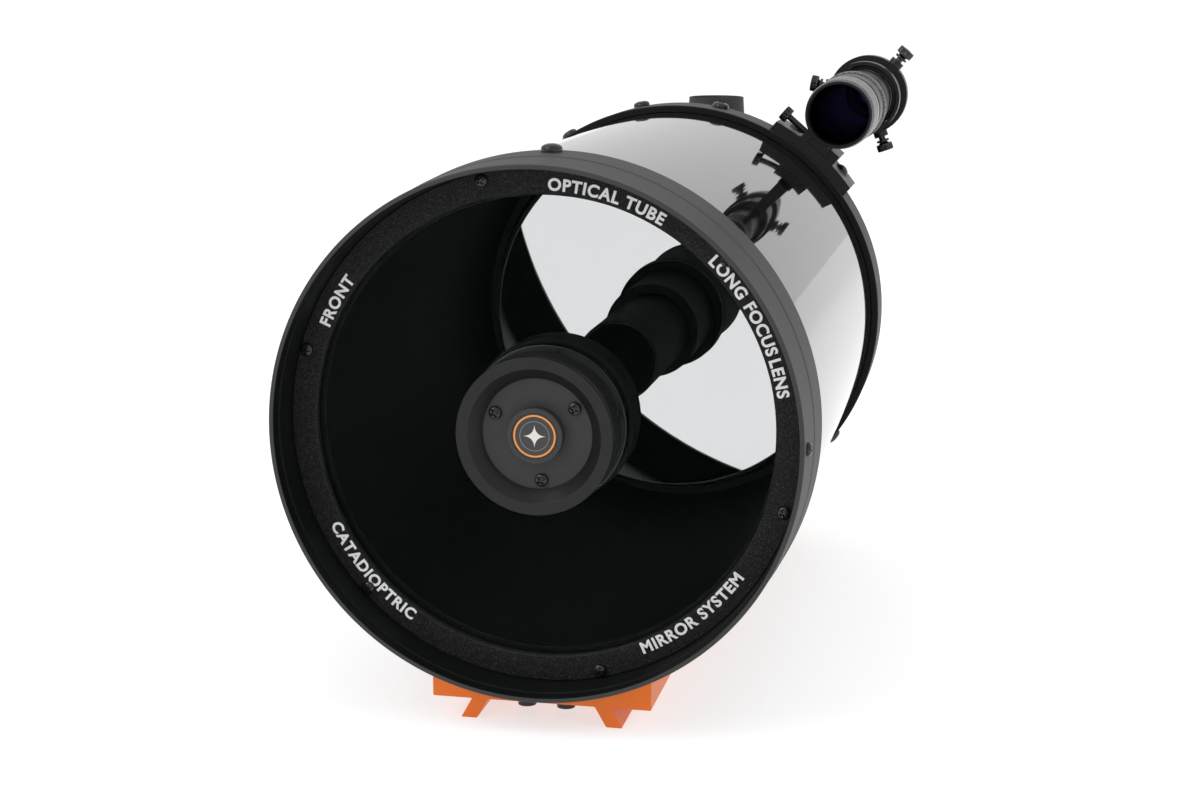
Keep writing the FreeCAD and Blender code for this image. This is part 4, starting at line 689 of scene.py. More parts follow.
# ---- pieces --------------------------------------------------------------------------------------------
def piece(name, shell, finishes, body, replaced, zone=None, sharp=40.0):
    """Put a shell into a mesh, paint it, fix it to its CAD body and let it stand for CAD nodes.
    With a zone, a function of the faces' middles gives the number of each face's finish."""
    mesh = bpy.data.meshes.new(name)
    faces = shell.quads.tolist() + shell.tris.tolist() + [c.tolist() for c in shell.caps]
    mesh.from_pydata((shell.points / MM).tolist(), [], faces)
    for each in finishes:
        mesh.materials.append(finish(each))
    if zone is not None:
        centres = np.empty(len(mesh.polygons) * 3, np.float32)
        mesh.polygons.foreach_get("center", centres)
        index = np.asarray(zone(centres.reshape(-1, 3) * MM), np.int32)
        mesh.polygons.foreach_set("material_index", index)
    mesh.shade_smooth()
    mesh.set_sharp_from_angle(angle=math.radians(sharp))
    mesh.update()
    return fixed(bpy.data.objects.new(name, mesh), body, replaced)


def fixed(thing, body, replaced):
    """Link an object and tell the frame what it rides on and the CAD nodes that it stands for."""
    bpy.context.scene.collection.objects.link(thing)
    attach(thing, body)
    if replaced:
        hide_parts(*replaced)
    return thing


def refined(node, name, finish_name, body, width=0.25):
    """Copy of a CAD node's mesh with its triangles merged to whole faces, smooth walls and softened edges."""
    mesh = bpy.data.meshes.new(name)
    work = bmesh.new()
    work.from_mesh(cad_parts[node].data)
    bmesh.ops.remove_doubles(work, verts=work.verts, dist=2e-6)
    bmesh.ops.dissolve_limit(work, angle_limit=math.radians(0.5), verts=work.verts, edges=work.edges)
    work.to_mesh(mesh)
    work.free()
    mesh.materials.clear()
    mesh.materials.append(finish(finish_name))
    mesh.shade_smooth()
    mesh.set_sharp_from_angle(angle=math.radians(30.0))
    thing = bpy.data.objects.new(name, mesh)
    if width:
        bevel = thing.modifiers.new("softened_edges", "BEVEL")
        bevel.width = width / MM
        bevel.segments = 2
        bevel.limit_method = "ANGLE"
        bevel.angle_limit = math.radians(35.0)
        bevel.harden_normals = True
    return fixed(thing, body, [node])


def dressed(node, finish_name):
    """Give a CAD node that stays visible its finish."""
    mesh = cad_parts[node].data
    mesh.materials.clear()
    mesh.materials.append(finish(finish_name))


def radius_of(centres):
    return np.hypot(centres[:, 0], centres[:, 2])


# ---- front cell and ring ---------------------------------------------------------------------------
def front_cell(mm):
    """Section of the front cell: lip, dust-cap seat, recess, glass pocket, clear opening and skirt."""
    y, end = span("front_cell")
    glass_back = span("corrector_plate")[1]
    shelf = span("corrector_retaining_ring")[1]
    tube = span("main_tube")[0]
    skirt = mm.tube_radius + 0.05
    return turned([
        (mm.cap_seat_radius, y), (mm.lip_radius, y, 0.8), (mm.lip_radius + 0.9, y + 27.0),
        (mm.lip_radius + 1.3, y + 28.4),
        (mm.rim_radius, end - 2.0), (mm.rim_radius, end, 0.8), (skirt, end), (skirt, tube),
        (mm.aperture_radius, tube),
        (mm.aperture_radius, glass_back), (mm.pocket_radius, glass_back), (mm.pocket_radius, shelf),
        (mm.recess_radius, shelf), (mm.recess_radius, y + 7.0), (mm.cap_seat_radius, y + 7.0)], 288)


def retaining_ring(mm):
    front, back = span("corrector_retaining_ring")
    outer = mm.recess_radius - 0.2
    return turned([(mm.ring_bore_radius + 0.8, front, 0.2), (outer, front, 0.4), (outer, back),
                   (mm.ring_bore_radius, back), (mm.ring_bore_radius, front + 0.8, 0.2)], 288)


RING_TEXTS = (  # words, clock angle of their middle in degrees, and whether they read from outside
    ("OPTICAL TUBE", 74.1, True),
    ("LONG FOCUS", 33.2, True),
    ("LENS", 14.6, True),
    ("FRONT", 149.8, True),
    ("CATADIOPTRIC", 221.2, False),
    ("MIRROR SYSTEM", 310.1, False),
)


def letters(words, height):
    """Flat letters as points (x, y, z) in millimetres, centred, with their faces."""
    curve = bpy.data.curves.new("letters", "FONT")
    curve.body = words
    curve.size = height / MM * 1.38
    curve.align_x, curve.align_y = "CENTER", "CENTER"
    curve.extrude = 0.00002
    curve.offset = 0.00024
    curve.space_character = 1.12
    maker = bpy.data.objects.new("letters", curve)
    bpy.context.scene.collection.objects.link(maker)
    solid = maker.evaluated_get(bpy.context.evaluated_depsgraph_get()).to_mesh()
    points = np.empty(len(solid.vertices) * 3, np.float32)
    solid.vertices.foreach_get("co", points)
    faces = [list(p.vertices) for p in solid.polygons]
    bpy.data.objects.remove(maker)
    return points.reshape(-1, 3) * MM, faces


def ring_lettering(mm):
    """Letters bent round the ring: x becomes an arc at the lettering radius and y a change of radius."""
    face = span("corrector_retaining_ring")[0]
    points, faces, start = [], [], 0
    for words, clock, outward in RING_TEXTS:
        flat, cells = letters(words, mm.lettering_height)
        side = -1.0 if outward else 1.0
        turn = math.radians(clock) + side * flat[:, 0] / mm.lettering_radius
        out = mm.lettering_radius - side * flat[:, 1]
        points.append(np.stack([out * np.cos(turn), face - flat[:, 2], out * np.sin(turn)], -1))
        faces += [[v + start for v in cell] for cell in cells]
        start += len(flat)
    mesh = bpy.data.meshes.new("ring_lettering")
    mesh.from_pydata((np.concatenate(points) / MM).tolist(), [], faces)
    work = bmesh.new()
    work.from_mesh(mesh)
    bmesh.ops.remove_doubles(work, verts=work.verts, dist=1e-7)
    work.to_mesh(mesh)
    work.free()
    mesh.materials.append(finish("lettering"))
    return bpy.data.objects.new("ring_lettering", mesh)


class TELESCOPE_OT_front_cell(Operator):
    """Front cell with the screws of its lip and its accessory screw"""

    bl_idname = "telescope.front_cell"
    bl_label = "Front cell"

    def execute(self, context):
        mm = millimetres(context.scene.telescope_sizes)

        def zone(c):
            inside = radius_of(c) < mm.cap_seat_radius + 0.02
            return (inside & (c[:, 1] > 0.6) & (c[:, 1] < 49.0)).astype(int)
        piece("front_cell_casting", front_cell(mm), ["cell_paint", "inner_black"], "tube_assembly",
              ["front_cell"], zone)
        top = mm.lip_radius + 0.3
        lip = [pointing_out(pan_screw(2.4), top, a, 8.4, 0.3 * a) for a in (0.0, 180.0, 270.0)]
        piece("lip_screw_set", together(*lip), ["black_steel"], "tube_assembly",
              ["lip_screws"])
        piece("accessory_screw", pointing_out(button_screw(4.0), mm.rim_radius - 0.1, 90.0, 44.0),
              ["black_steel"],
              "tube_assembly", ["front_accessory_screw"])
        return {"FINISHED"}


class TELESCOPE_OT_retaining_ring(Operator):
    """Ring in front of the glass with its six screws, its lettering and the packing behind it"""

    bl_idname = "telescope.retaining_ring"
    bl_label = "Retaining ring"

    def execute(self, context):
        mm = millimetres(context.scene.telescope_sizes)
        piece("front_ring", retaining_ring(mm), ["ring_paint"], "tube_assembly",
              ["corrector_retaining_ring"])
        face = span("corrector_retaining_ring")[0]
        screws = [facing_front(pan_screw(9.0), 111.4, 43.5 + 60.0 * k, face, 0.7 * k) for k in range(6)]
        piece("front_ring_screws", together(*screws), ["black_steel"], "tube_assembly",
              ["retaining_ring_screws"])
        fixed(ring_lettering(mm), "tube_assembly", [])
        dressed("corrector_gasket", "rubber")
        dressed("corrector_shims", "card")
        return {"FINISHED"}


class TELESCOPE_OT_corrector(Operator):
    """Round glass plate"""

    bl_idname = "telescope.corrector"
    bl_label = "Corrector plate"

    def execute(self, context):
        front, back = span("corrector_plate")
        outer = span("corrector_plate", 0)[1]
        glass_plate = turned([(32.4, front), (outer, front), (outer, back), (32.4, back)], 192)
        piece("front_glass", glass_plate, ["coated_glass", "inner_black"], "tube_assembly",
              ["corrector_plate"], lambda c: (radius_of(c) < 32.75).astype(int))
        return {"FINISHED"}


# ---- secondary group ---------------------------------------------------------------------------------
class TELESCOPE_OT_secondary(Operator):
    """Knurled ring, front plate with its boss, badge and screws, holder, light shield and small mirror"""

    bl_idname = "telescope.secondary"
    bl_label = "Secondary mirror group"

    def execute(self, context):
        mm = millimetres(context.scene.telescope_sizes)
        self.lock_ring(mm)
        self.cell(mm)
        self.holder(mm)
        self.mirror()
        for node, finish_name in (("secondary_clamp_ring", "black_anodised"), ("secondary_gaskets", "rubber"),
                                  ("secondary_mirror_plate", "inner_black")):
            dressed(node, finish_name)
        return {"FINISHED"}

    def lock_ring(self, mm):
        """Ring with a dished front lip and slanted teeth round its wall."""
        front, back = span("secondary_lock_ring")
        plate = PLATE_FACE
        r = mm.lock_ring_radius
        corners = [(29.6, front, 0.15), (r, front, 0.6), (r, back, 0.3), (mm.neck_radius + 0.07, back),
                   (mm.neck_radius + 0.07, plate - 0.25), (24.6, plate - 0.25), (24.6, plate - 1.0, 0.15)]
        teeth = knurl(mm.knurl_teeth, mm.knurl_depth, r, front + 3.0, back - 1.5, 0.35)
        ring = turned(corners, mm.knurl_teeth * 5, 0.3, teeth, 0.8)
        # painted shade: flat inner black in the grooves between the teeth; painted highlight: the lighter
        # cell paint on the tooth crests
        piece("knurled_ring", ring, ["black_anodised", "inner_black", "cell_paint"], "secondary_lock_ring",
              ["secondary_lock_ring"],
              self.knurl_painted_shade_and_highlight(r, mm.knurl_depth, front + 3.4, back - 1.9))

    def knurl_painted_shade_and_highlight(self, radius, depth, low, high):
        """Finish 1, the flat inner black, in the grooves between the teeth as painted shade; finish 2, the
        lighter cell paint, on the teeth as painted highlight; finish 0 elsewhere.
        """
        def zone(c):
            out = radius_of(c)
            band = (c[:, 1] > low) & (c[:, 1] < high) & (out > radius - depth - 0.2)
            return band * np.where(out < radius - 0.5 * depth, 1, 2)
        return zone

    def cell(self, mm):
        """Plate with a round boss in front and a skirt behind."""
        face, back = span("secondary_cell")
        plate, neck = PLATE_FACE, NECK_FACE
        skirt = mm.neck_bore_radius - 0.07
        corners = [(0.0, face + 0.4), (10.1, face + 0.4, 0.1), (10.1, face, 0.1), (mm.boss_radius, face, 0.4),
                   (mm.boss_radius, plate, 0.4), (30.9, plate), (30.9, neck - 0.1), (skirt, neck - 0.1),
                   (skirt, back),
                   (26.9, back), (26.9, neck), (3.0, neck), (2.0, neck + 4.6), (0.0, neck + 4.6)]
        piece("front_plate", capped(corners, 192), ["cell_paint"], "secondary_cell",
              ["secondary_cell"])
        low, high = span("centre_badge")
        disc = capped([(0.0, low - 0.05), (9.9, low, 0.15), (9.9, high), (0.0, high)], 128)
        piece("badge_disc", disc, ["badge"], "secondary_cell", ["centre_badge"])
        for k, clock in enumerate((155.3, 35.3, 275.3)):
            node = "collimation_screw_%d" % (k + 1)
            shell = facing_front(pan_screw(12.0), 20.5, clock, plate - 0.07, 0.4 + 0.9 * k)
            piece("cross_screw_%d" % (k + 1), shell, ["black_steel"], node, [node])

    def holder(self, mm):
        """Neck through the glass with its flange, and the light shield over its rear end."""
        neck = NECK_FACE
        front = span("corrector_plate")[1] + 0.5
        back = span("secondary_holder")[1]
        flange = front + 6.5
        corners = [(mm.neck_bore_radius, neck), (mm.neck_radius, neck), (mm.neck_radius, front),
                   (36.0, front, 0.6),
                   (36.0, flange, 0.6), (34.6, flange), (34.6, back), (32.6, back), (32.6, flange + 2.0),
                   (mm.neck_bore_radius, flange)]
        piece("holder", turned(corners, 192), ["black_steel"], "tube_assembly",
              ["secondary_holder"])
        end = back + 1.0
        corners = [(34.65, end - 17.0), (mm.shield_radius, end - 17.0, 0.5), (mm.shield_radius, end, 0.5),
                   (31.1, end), (31.1, back), (34.65, back)]
        piece("light_shield", turned(corners, 192), ["inner_black"], "tube_assembly",
              ["secondary_baffle"])

    def mirror(self):
        """Small mirror: a disc whose rear face is part of a sphere, a = a0 - (R - sqrt(R^2 - r^2))."""
        front, back = span("secondary_mirror")
        r = np.linspace(0.0, 26.0, 24)
        face = np.stack([r, back - (236.0 - np.sqrt(236.0 ** 2 - r ** 2))], -1)
        edge = face[-1, 1]
        wall = np.array([(26.3, edge - 0.1), (26.5, edge - 0.4), (26.5, front + 0.4), (26.1, front),
                         (0.0, front)])
        shell = revolved(np.concatenate([face, wall]), 128, False)
        piece("small_mirror", shell, ["mirror_coat"], "secondary_mirror", ["secondary_mirror"])


# ---- tube, mirror and rear cell --------------------------------------------------------------------
class TELESCOPE_OT_tube(Operator):
    """Gloss tube, flat black inside"""

    bl_idname = "telescope.tube"
    bl_label = "Tube"

    def execute(self, context):
        mm = millimetres(context.scene.telescope_sizes)
        front, back = span("main_tube")
        inner = mm.tube_radius - mm.tube_wall
        shell = turned([(inner, front), (mm.tube_radius, front), (mm.tube_radius, back), (inner, back)], 384,
                       0.2, step=40.0)
        piece("tube_shell", shell, ["tube_paint", "inner_black"], "tube_assembly",
              ["main_tube"],
              lambda c: (radius_of(c) < inner + 0.5).astype(int))
        return {"FINISHED"}


class TELESCOPE_OT_mirror(Operator):
    """Large mirror with its sleeve and ring, and the fixed tube on the axis"""

    bl_idname = "telescope.mirror"
    bl_label = "Primary mirror group"

    def execute(self, context):
        mm = millimetres(context.scene.telescope_sizes)
        self.mirror(mm)
        refined("mirror_carrier", "sliding_sleeve", "inner_black", "mirror_group", 0.3)
        low, high = span("mirror_lock_ring")
        corners = [(mm.sleeve_radius + 0.05, low), (31.0, low, 0.5), (31.0, high),
                   (mm.sleeve_radius + 0.05, high)]
        piece("mirror_ring", turned(corners, 160), ["inner_black"], "mirror_group",
              ["mirror_lock_ring"])
        low, high = span("baffle_tube")
        inner = mm.baffle_radius - 1.5
        shell = turned([(inner, low), (mm.baffle_radius, low), (mm.baffle_radius, high), (inner, high)], 160,
                       step=30.0)
        piece("axis_tube", shell, ["inner_black"], "tube_assembly", ["baffle_tube"])
        dressed("focus_nut", "brass")
        return {"FINISHED"}

    def mirror(self, mm):
        """Glass disc with a hole; its front face is part of a sphere, a = v - (R - sqrt(R^2 - r^2))."""
        _, back = span("primary_mirror")
        vertex = MIRROR_VERTEX
        curve = mm.mirror_curve
        r = np.linspace(mm.sleeve_radius + 0.6, mm.mirror_radius - 1.0, 60)
        face = np.stack([r, vertex - (curve - np.sqrt(curve ** 2 - r ** 2))], -1)
        edge = face[-1, 1]
        wall = np.array([(mm.mirror_radius - 0.2, edge + 0.5), (mm.mirror_radius, edge + 1.0),
                         (mm.mirror_radius, back - 1.0), (mm.mirror_radius - 1.0, back),
                         (mm.sleeve_radius + 0.6, back)])
        shell = revolved(np.concatenate([face, wall]), 256)

        def zone(c):
            depth = vertex - (curve - np.sqrt(curve ** 2 - radius_of(c) ** 2))
            return (c[:, 1] > depth + 0.6).astype(int)
        piece("large_mirror", shell, ["mirror_coat", "ground_glass"], "mirror_group",
              ["primary_mirror"], zone)


class TELESCOPE_OT_rear_cell(Operator):
    """Domed rear cell with its rim screws"""

    bl_idname = "telescope.rear_cell"
    bl_label = "Rear cell"

    def execute(self, context):
        mm = millimetres(context.scene.telescope_sizes)
        front, end = span("rear_cell")
        back, hub, port = front + 28.0, front + 60.0, 25.4
        rim, tube_end = mm.rim_radius, span("main_tube")[1] + 0.2
        inner = rim - 10.5
        seat = mm.tube_radius + 0.05
        bore = mm.baffle_radius
        corners = [(rim, front, 0.8), (rim, back, 1.5), (rim - 7.0, back + 6.5, 3.0),
                   (rim - 22.0, back + 16.0, 6.0),
                   (rim - 49.0, back + 24.5, 6.0), (44.0, back + 28.5, 1.0), (44.0, hub, 0.8), (port, hub),
                   (port, end, 0.8), (bore - 1.5, end), (bore - 1.5, end - 8.0), (bore + 0.05, end - 8.0),
                   (bore + 0.05, hub - 18.0), (bore + 13.0, hub - 18.0), (bore + 13.0, back + 18.5),
                   (rim - 49.0, back + 18.5), (rim - 24.0, back + 10.0), (inner, back), (inner, tube_end),
                   (seat, tube_end), (seat, front)]
        cast = turned(corners, 288)
        pad = capped([(0.0, hub - 11.0), (19.0, hub - 11.0), (19.0, hub - 3.0, 0.8), (0.0, hub - 3.0)], 96)
        cast = together(cast, pad.placed((KNOB_X, 0.0, KNOB_Z)))

        # Flat black inside the cell; the rim's front face, where the tube meets it, also gets the flat black
        # as painted shade.
        def zone(c):
            inside = (radius_of(c) < inner + 0.5) & (c[:, 1] < back + 3.0)
            return (inside | (c[:, 1] < front + 0.3)).astype(int)
        piece("rear_casting", cast, ["cell_paint", "inner_black"], "tube_assembly",
              ["rear_cell"], zone)
        screws = [pointing_out(button_screw(7.5), rim - 0.1, a, back - 8.0, 0.5 * k)
                  for k, a in enumerate((78.75, 101.25, 123.75, 219.0, 321.0))]
        piece("rim_screws", together(*screws), ["black_steel"], "tube_assembly",
              ["rear_cell_screws"])
        return {"FINISHED"}


class TELESCOPE_OT_focuser(Operator):
    """Focus knob with its bearing housing"""

    bl_idname = "telescope.focuser"
    bl_label = "Focuser"

    def execute(self, context):
        low, high = span("focus_bearing_housing")
        housing = turned([(3.07, low), (15.0, low), (15.0, high - 2.0, 1.0), (7.5, high - 2.0), (7.5, high),
                          (3.07, high)], 96)
        piece("bearing_housing", self.here(housing), ["black_anodised"], "tube_assembly",
              ["focus_bearing_housing"])
        seat = high - 2.0
        screws = [self.here(pan_screw(12.0).placed((11.0 * math.cos(a), seat, -11.0 * math.sin(a))))
                  for a in (0.0, FULL_TURN / 3, 2 * FULL_TURN / 3)]
        piece("housing_screws", together(*screws), ["black_steel"], "tube_assembly",
              ["focus_housing_screws"])
        front, back = span("focus_knob")
        core = turned([(3.05, front), (12.0, front), (12.0, front + 1.5), (9.0, front + 1.5),
                       (9.0, back, 0.6),
                       (6.0, back, 0.3), (5.0, back - 0.6), (3.05, back - 0.6)], 96)
        piece("knob_core", self.here(core), ["black_anodised"], "focus_knob",
              ["focus_knob"])
        low, high = span("focus_knob_grip")
        grip = turned([(9.05, low), (13.0, low, 0.8), (13.0, high, 1.2), (9.05, high)], 224, 0.3,
                      knurl(28, 0.9, 13.0, low + 1.0, high - 1.0), 1.0)
        piece("knob_grip", self.here(grip), ["rubber"], "focus_knob", ["focus_knob_grip"])
        dressed("focus_screw", "bright_steel")
        return {"FINISHED"}

    def here(self, shell):
        return shell.placed((KNOB_X, 0.0, KNOB_Z))


# ---- visual back, diagonal and eyepiece ----------------------------------------------------------------
class TELESCOPE_OT_visual_back(Operator):
    """Adapter on the rear port, its slip ring and thumbscrew"""

    bl_idname = "telescope.visual_back"
    bl_label = "Visual back"

    def execute(self, context):
        low, high = span("visual_back")
        bore, wall = 15.945, 19.4
        body = turned([(bore, low), (25.2, low), (25.2, low + 3.0), (wall, low + 3.0), (wall, high - 12.0),
                       (wall + 1.2, high - 11.0), (wall + 1.2, high, 0.6), (bore, high, 0.4)], 160)
        piece("rear_adapter", body, ["black_anodised"], "tube_assembly", ["visual_back"])
        front, back = span("visual_back_ring")
        lip = low + 3.25
        ring = turned([(25.47, front), (31.0, front, 1.0), (31.0, back, 1.0), (19.47, back), (19.47, lip),
                       (25.47, lip)],
                      288, 0.3, knurl(48, 0.8, 31.0, front + 1.5, back - 1.5), 1.0)
        piece("slip_ring", ring, ["black_anodised"], "visual_back_ring",
              ["visual_back_ring"])
        screw_shell = thumb_screw(16.175, 25.4, 28.4).placed((0.0, high - 6.0, 0.0), (0, 0, 1))
        piece("adapter_screw", screw_shell, ["black_steel"], "visual_back_thumbscrew",
              ["visual_back_thumbscrew"])
        return {"FINISHED"}


class TELESCOPE_OT_diagonal(Operator):
    """Right-angle mirror box between the adapter and the eyepiece"""

    bl_idname = "telescope.diagonal"
    bl_label = "Star diagonal"

    def execute(self, context):
        refined("diagonal_housing", "diagonal_box", "cell_paint", "diagonal", 0.5)
        flat = refined("diagonal_mirror", "diagonal_flat", "mirror_coat", "diagonal", 0.0)
        flat.data.materials.append(finish("black_anodised"))
        for face in flat.data.polygons:
            face.material_index = int(face.normal.y - face.normal.z > -1.2)
        top = span("diagonal_housing", 2)[1]
        shell = thumb_screw(16.175, 22.5, 25.5).placed((0.0, EYE_Y, top - 8.0), (-1, 0, 0))
        piece("diagonal_screw", shell, ["black_steel"], "diagonal_thumbscrew",
              ["diagonal_thumbscrew"])
        return {"FINISHED"}


class TELESCOPE_OT_eyepiece(Operator):
    """Eyepiece with its grooved grip and rubber eyecup"""

    bl_idname = "telescope.eyepiece"
    bl_label = "Eyepiece"

    def execute(self, context):
        low, high = span("eyepiece_body", 2)
        corners = [(12.5, low + 4.05), (15.925, low + 4.05), (15.925, low), (17.5, low, 0.5)]
        for k in range(6):
            z = low + 8.0 + 3.0 * k
            corners += [(17.5, z, 0.15), (16.7, z, 0.1), (16.7, z + 1.2, 0.1), (17.5, z + 1.2, 0.15)]
        corners += [(17.5, high, 0.6), (12.5, high)]
        piece("eyepiece_shell", upright(turned(corners, 128)), ["black_anodised"], "eyepiece",
              ["eyepiece_body"])
        base, top = span("eyecup", 2)
        corners = [(17.55, base), (18.5, base, 0.4), (18.5, high, 1.5), (17.9, high + 2.0, 0.8),
                   (18.2, high + 4.0, 0.8),
                   (17.5, top, 0.7), (16.3, top, 0.5), (11.5, high + 0.05, 0.8), (17.55, high + 0.05)]
        piece("eyepiece_cup", upright(turned(corners, 128)), ["rubber"], "eyepiece", ["eyecup"])
        dressed("eyepiece_barrel", "bright_steel")
        dressed("eyepiece_lenses", "coated_glass")
        return {"FINISHED"}


# ---- finder --------------------------------------------------------------------------------------------
class TELESCOPE_OT_finder(Operator):
    """Aiming scope: objective cell and lens, lock ring, ribbed tube and eyepiece"""

    bl_idname = "telescope.finder"
    bl_label = "Finder"

    def execute(self, context):
        front, back = span("finder_objective_cell")
        corners = [(15.0, front, 0.3), (16.6, front, 0.5), (16.6, front + 5.0), (17.3, front + 7.0),
                   (17.3, front + 27.0), (17.6, front + 27.6, 0.3), (17.6, front + 29.0, 0.3),
                   (17.2, front + 29.6)]
        for y in (front + 32.0, front + 36.5, front + 41.0):
            corners += [(17.2, y - 0.4), (16.5, y), (16.5, y + 1.6), (17.2, y + 2.0)]
        corners += [(17.2, back, 0.5), (15.9, back), (15.9, front + 9.0), (15.0, front + 9.0)]
        finishes = ["grey_anodised", "inner_black", "black_anodised", "bright_steel"]
        piece("objective_cell", at_finder(turned(corners, 160)), finishes, "finder_objective_cell",
              ["finder_objective_cell"], self.objective_zone(front))
        low, high = span("finder_objective_lens")
        r = np.linspace(0.0, 15.5, 20)
        face = np.stack([r, low + 75.0 - np.sqrt(75.0 ** 2 - r ** 2)], -1)
        wall = np.array([(15.83, face[-1, 1] + 0.4), (15.83, high - 0.2), (15.6, high), (0.0, high)])
        piece("objective_lens", at_finder(revolved(np.concatenate([face, wall]), 96, False)),
              ["violet_glass"],
              "finder_objective", ["finder_objective_lens"])
        low, high = span("finder_lock_ring")
        ring = turned([(15.9, low), (18.3, low, 0.5), (18.3, high, 0.5), (15.9, high)], 200, 0.3,
                      knurl(50, 0.3, 18.3, low + 0.8, high - 0.8), 0.8)
        piece("objective_lock_ring", at_finder(ring), ["grey_anodised"], "finder_lock_ring",
              ["finder_lock_ring"])
        self.tube(high + 0.25)
        self.eyepiece()
        dressed("finder_eye_lens", "violet_glass")
        return {"FINISHED"}

    def objective_zone(self, front):
        def zone(c):
            out = np.hypot(c[:, 0] - FINDER_X, c[:, 2] - FINDER_Z)
            inside = out < 15.95
            black = (c[:, 1] < front + 6.0) | (c[:, 1] > front + 29.3)
            ridge = (c[:, 1] > front + 27.3) & (c[:, 1] < front + 29.3)
            return np.where(inside, 1, np.where(black, 2, np.where(ridge, 3, 0)))
        return zone

    def tube(self, ribs):
        """Thread, six ribs and a plain tube, one after the other along the section."""
        front, rear = span("finder_tube")
        thread, inner = 15.83, 13.8
        corners = [(inner, front), (thread, front), (thread, ribs)]
        for k in range(6):
            y = ribs + 5.0 * k
            corners += [(17.0, y + 0.4, 0.3), (17.0, y + 2.5, 0.3), (thread, y + 3.0), (thread, y + 5.0)]
        corners += [(FINDER_TUBE_R, ribs + 31.0), (FINDER_TUBE_R, rear), (inner, rear)]
        piece("finder_barrel", at_finder(turned(corners, 160)), ["black_anodised"], "finder",
              ["finder_tube"])

    def eyepiece(self):
        front, back = span("finder_eyepiece")
        joint = span("finder_tube")[1]
        corners = [(12.25, front), (13.75, front), (13.75, joint), (14.0, joint, 0.4),
                   (14.0, back - 14.0, 1.0),
                   (16.0, back - 10.0, 1.0), (16.0, back, 1.2), (11.0, back, 0.8), (9.0, back - 4.0),
                   (9.0, back - 16.0),
                   (12.25, back - 18.0)]
        piece("finder_eye_end", at_finder(turned(corners, 128)), ["rubber"], "finder",
              ["finder_eyepiece"])


class TELESCOPE_OT_finder_bracket(Operator):
    """Bracket with its rubber ring and thumbscrews, and the shoe with its screws"""

    bl_idname = "telescope.finder_bracket"
    bl_label = "Finder bracket and shoe"

    def execute(self, context):
        refined("finder_bracket", "finder_bracket_casting", "black_anodised", "finder_bracket", 0.3)
        refined("finder_shoe", "finder_shoe_casting", "black_anodised", "tube_assembly", 0.3)
        dressed("finder_o_ring", "rubber")
        hoop = middle("finder_thumbscrew_1", 1)
        for k in range(3):
            turn = FINDER_CLOCK - k * FULL_TURN / 3.0
            out = (math.cos(turn), 0.0, math.sin(turn))
            node = "finder_thumbscrew_%d" % (k + 1)
            shell = thumb_screw(15.5, 27.0, 29.4).placed((FINDER_X, hoop, FINDER_Z), out)
            piece("aiming_screw_%d" % (k + 1), shell, ["black_steel"], node, [node])
        self.lock_screw()
        dressed("finder_shoe_screws", "black_steel")
        return {"FINISHED"}

    def lock_screw(self):
        """Side screw of the shoe: a thin shank and a knurled head."""
        corners = [(0.0, 7.0), (1.8, 7.0), (1.8, 25.0), (4.4, 25.0, 0.5), (4.4, 29.5, 0.6), (0.0, 29.5)]
        shell = capped(corners, 128, 0.3, knurl(16, 0.35, 4.4, 25.5, 29.0), 0.7)
        x, z = at_shoe(0.0, 128.15)
        out = (-math.sin(FINDER_CLOCK), 0.0, math.cos(FINDER_CLOCK))
        piece("shoe_lock_screw", shell.placed((x, middle("finder_lock_screw", 1), z), out), ["black_steel"],
              "finder_lock_screw", ["finder_lock_screw"])


class TELESCOPE_OT_dovetail(Operator):
    """Dovetail bar on its two splayed legs, with its screws"""

    bl_idname = "telescope.dovetail"
    bl_label = "Dovetail bar"

    def execute(self, context):
        low, high = span("dovetail_bar")
        feet = span("dovetail_bar", 2)[0]
        under, shoulder, half, channel = feet + 9.2, feet + 23.2, 50.0, 119.55
        turn = np.linspace(math.asin(half / channel), -math.asin(half / channel), 60)
        arc = [(channel * math.sin(t), -channel * math.cos(t), 0.0) for t in turn]
        right = [(24.5, under), (29.7, feet), (37.0, feet), (31.9, under), (half, under), (half, shoulder)]
        left = [(-x, z) for x, z in reversed(right)]
        outline = left + right + [c for c in arc if c[1] < shoulder - 0.2]
        shell = carried(outline, low, high, 0.6)
        piece("orange_bar", shell, ["orange_anodised"], "tube_assembly", ["dovetail_bar"],
              sharp=30.0)
        dressed("dovetail_screws", "black_steel")
        return {"FINISHED"}


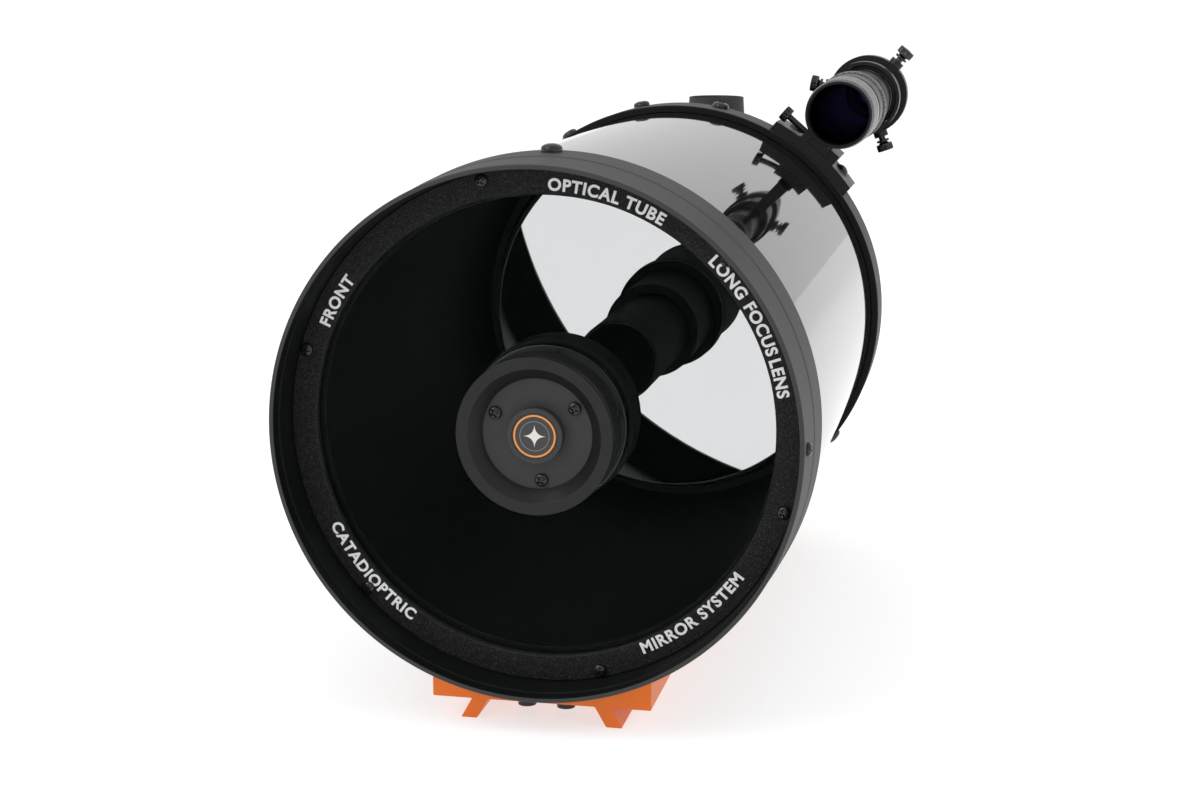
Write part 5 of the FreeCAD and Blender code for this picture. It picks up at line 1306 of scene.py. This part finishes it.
# ---- stage ---------------------------------------------------------------------------------------------
class TELESCOPE_OT_stage(Operator):
    """Pale floor, white surroundings, two large soft lights and the camera"""

    bl_idname = "telescope.stage"
    bl_label = "Stage"

    def execute(self, context):
        stage = context.scene.telescope_stage
        self.floor()
        self.surroundings(context.scene, stage.surroundings)
        self.light("key_light", (-1.3, -1.2, 1.7), 1.6, stage.key_power)
        self.light("fill_light", (1.7, -0.4, 0.9), 1.2, stage.fill_power, False)
        self.light("back_light", (0.2, 1.8, 1.5), 1.4, stage.fill_power, False)
        self.camera(context.scene, stage)
        context.scene.view_settings.view_transform = "Standard"
        return {"FINISHED"}

    def floor(self):
        mesh = bpy.data.meshes.new("floor")
        half = 40.0
        mesh.from_pydata([(-half, -half, FLOOR_Z), (half, -half, FLOOR_Z), (half, half, FLOOR_Z),
                          (-half, half, FLOOR_Z)],
                         [], [(0, 1, 2, 3)])
        mesh.materials.append(finish("floor"))
        floor = bpy.data.objects.new("floor", mesh)
        bpy.context.scene.collection.objects.link(floor)

    def surroundings(self, scene, strength):
        world = bpy.data.worlds.new("surroundings")
        world.use_nodes = True
        back = world.node_tree.nodes["Background"]
        back.inputs["Color"].default_value = (1.0, 1.0, 1.0, 1.0)
        back.inputs["Strength"].default_value = strength
        scene.world = world

    def light(self, name, place, size, power, mirrored=True):
        """Square area light that points at the middle of the tube, mirrored in glossy finishes or not."""
        lamp = bpy.data.lights.new(name, "AREA")
        lamp.size = size
        lamp.energy = power
        thing = bpy.data.objects.new(name, lamp)
        thing.location = place
        thing.rotation_euler = (Vector((0.0, 0.15, 0.0)) - Vector(place)).to_track_quat("-Z", "Y").to_euler()
        thing.visible_glossy = mirrored
        bpy.context.scene.collection.objects.link(thing)

    def camera(self, scene, stage):
        lens = bpy.data.cameras.new("camera")
        lens.lens = stage.lens
        lens.sensor_width = 36.0
        lens.clip_start, lens.clip_end = 0.01, 50.0
        camera = bpy.data.objects.new("camera", lens)
        camera.location = stage.camera_place
        camera.rotation_euler = Vector(stage.camera_view).to_track_quat("-Z", "Y").to_euler()
        scene.collection.objects.link(camera)
        scene.camera = camera


# ---- panel and registration ------------------------------------------------------------------------
OPERATORS = (
    TELESCOPE_OT_front_cell, TELESCOPE_OT_retaining_ring, TELESCOPE_OT_corrector, TELESCOPE_OT_secondary,
    TELESCOPE_OT_tube, TELESCOPE_OT_mirror, TELESCOPE_OT_rear_cell, TELESCOPE_OT_focuser,
    TELESCOPE_OT_visual_back,
    TELESCOPE_OT_diagonal, TELESCOPE_OT_eyepiece, TELESCOPE_OT_finder, TELESCOPE_OT_finder_bracket,
    TELESCOPE_OT_dovetail, TELESCOPE_OT_stage,
)


class TELESCOPE_PT_pieces(Panel):
    """Lists the pieces of the telescope tube"""

    bl_label = "Telescope tube"
    bl_idname = "TELESCOPE_PT_pieces"
    bl_space_type = "VIEW_3D"
    bl_region_type = "UI"
    bl_category = "Telescope"

    def draw(self, context):
        for group in (context.scene.telescope_sizes, context.scene.telescope_finishes,
                      context.scene.telescope_stage):
            box = self.layout.box()
            for key in type(group).__annotations__:
                box.prop(group, key)
        for operator in OPERATORS:
            self.layout.operator(operator.bl_idname)


GROUPS = (TelescopeSizes, TelescopeFinishes, TelescopeStage)


def register():
    for each in GROUPS + OPERATORS + (TELESCOPE_PT_pieces,):
        bpy.utils.register_class(each)
    bpy.types.Scene.telescope_sizes = PointerProperty(type=TelescopeSizes)
    bpy.types.Scene.telescope_finishes = PointerProperty(type=TelescopeFinishes)
    bpy.types.Scene.telescope_stage = PointerProperty(type=TelescopeStage)


def unregister():
    del bpy.types.Scene.telescope_stage
    del bpy.types.Scene.telescope_finishes
    del bpy.types.Scene.telescope_sizes
    for each in reversed(GROUPS + OPERATORS + (TELESCOPE_PT_pieces,)):
        bpy.utils.unregister_class(each)


def main():
    register()
    for operator in OPERATORS:
        group, action = operator.bl_idname.split(".")
        getattr(getattr(bpy.ops, group), action)()


if __name__ == "__main__":
    main()
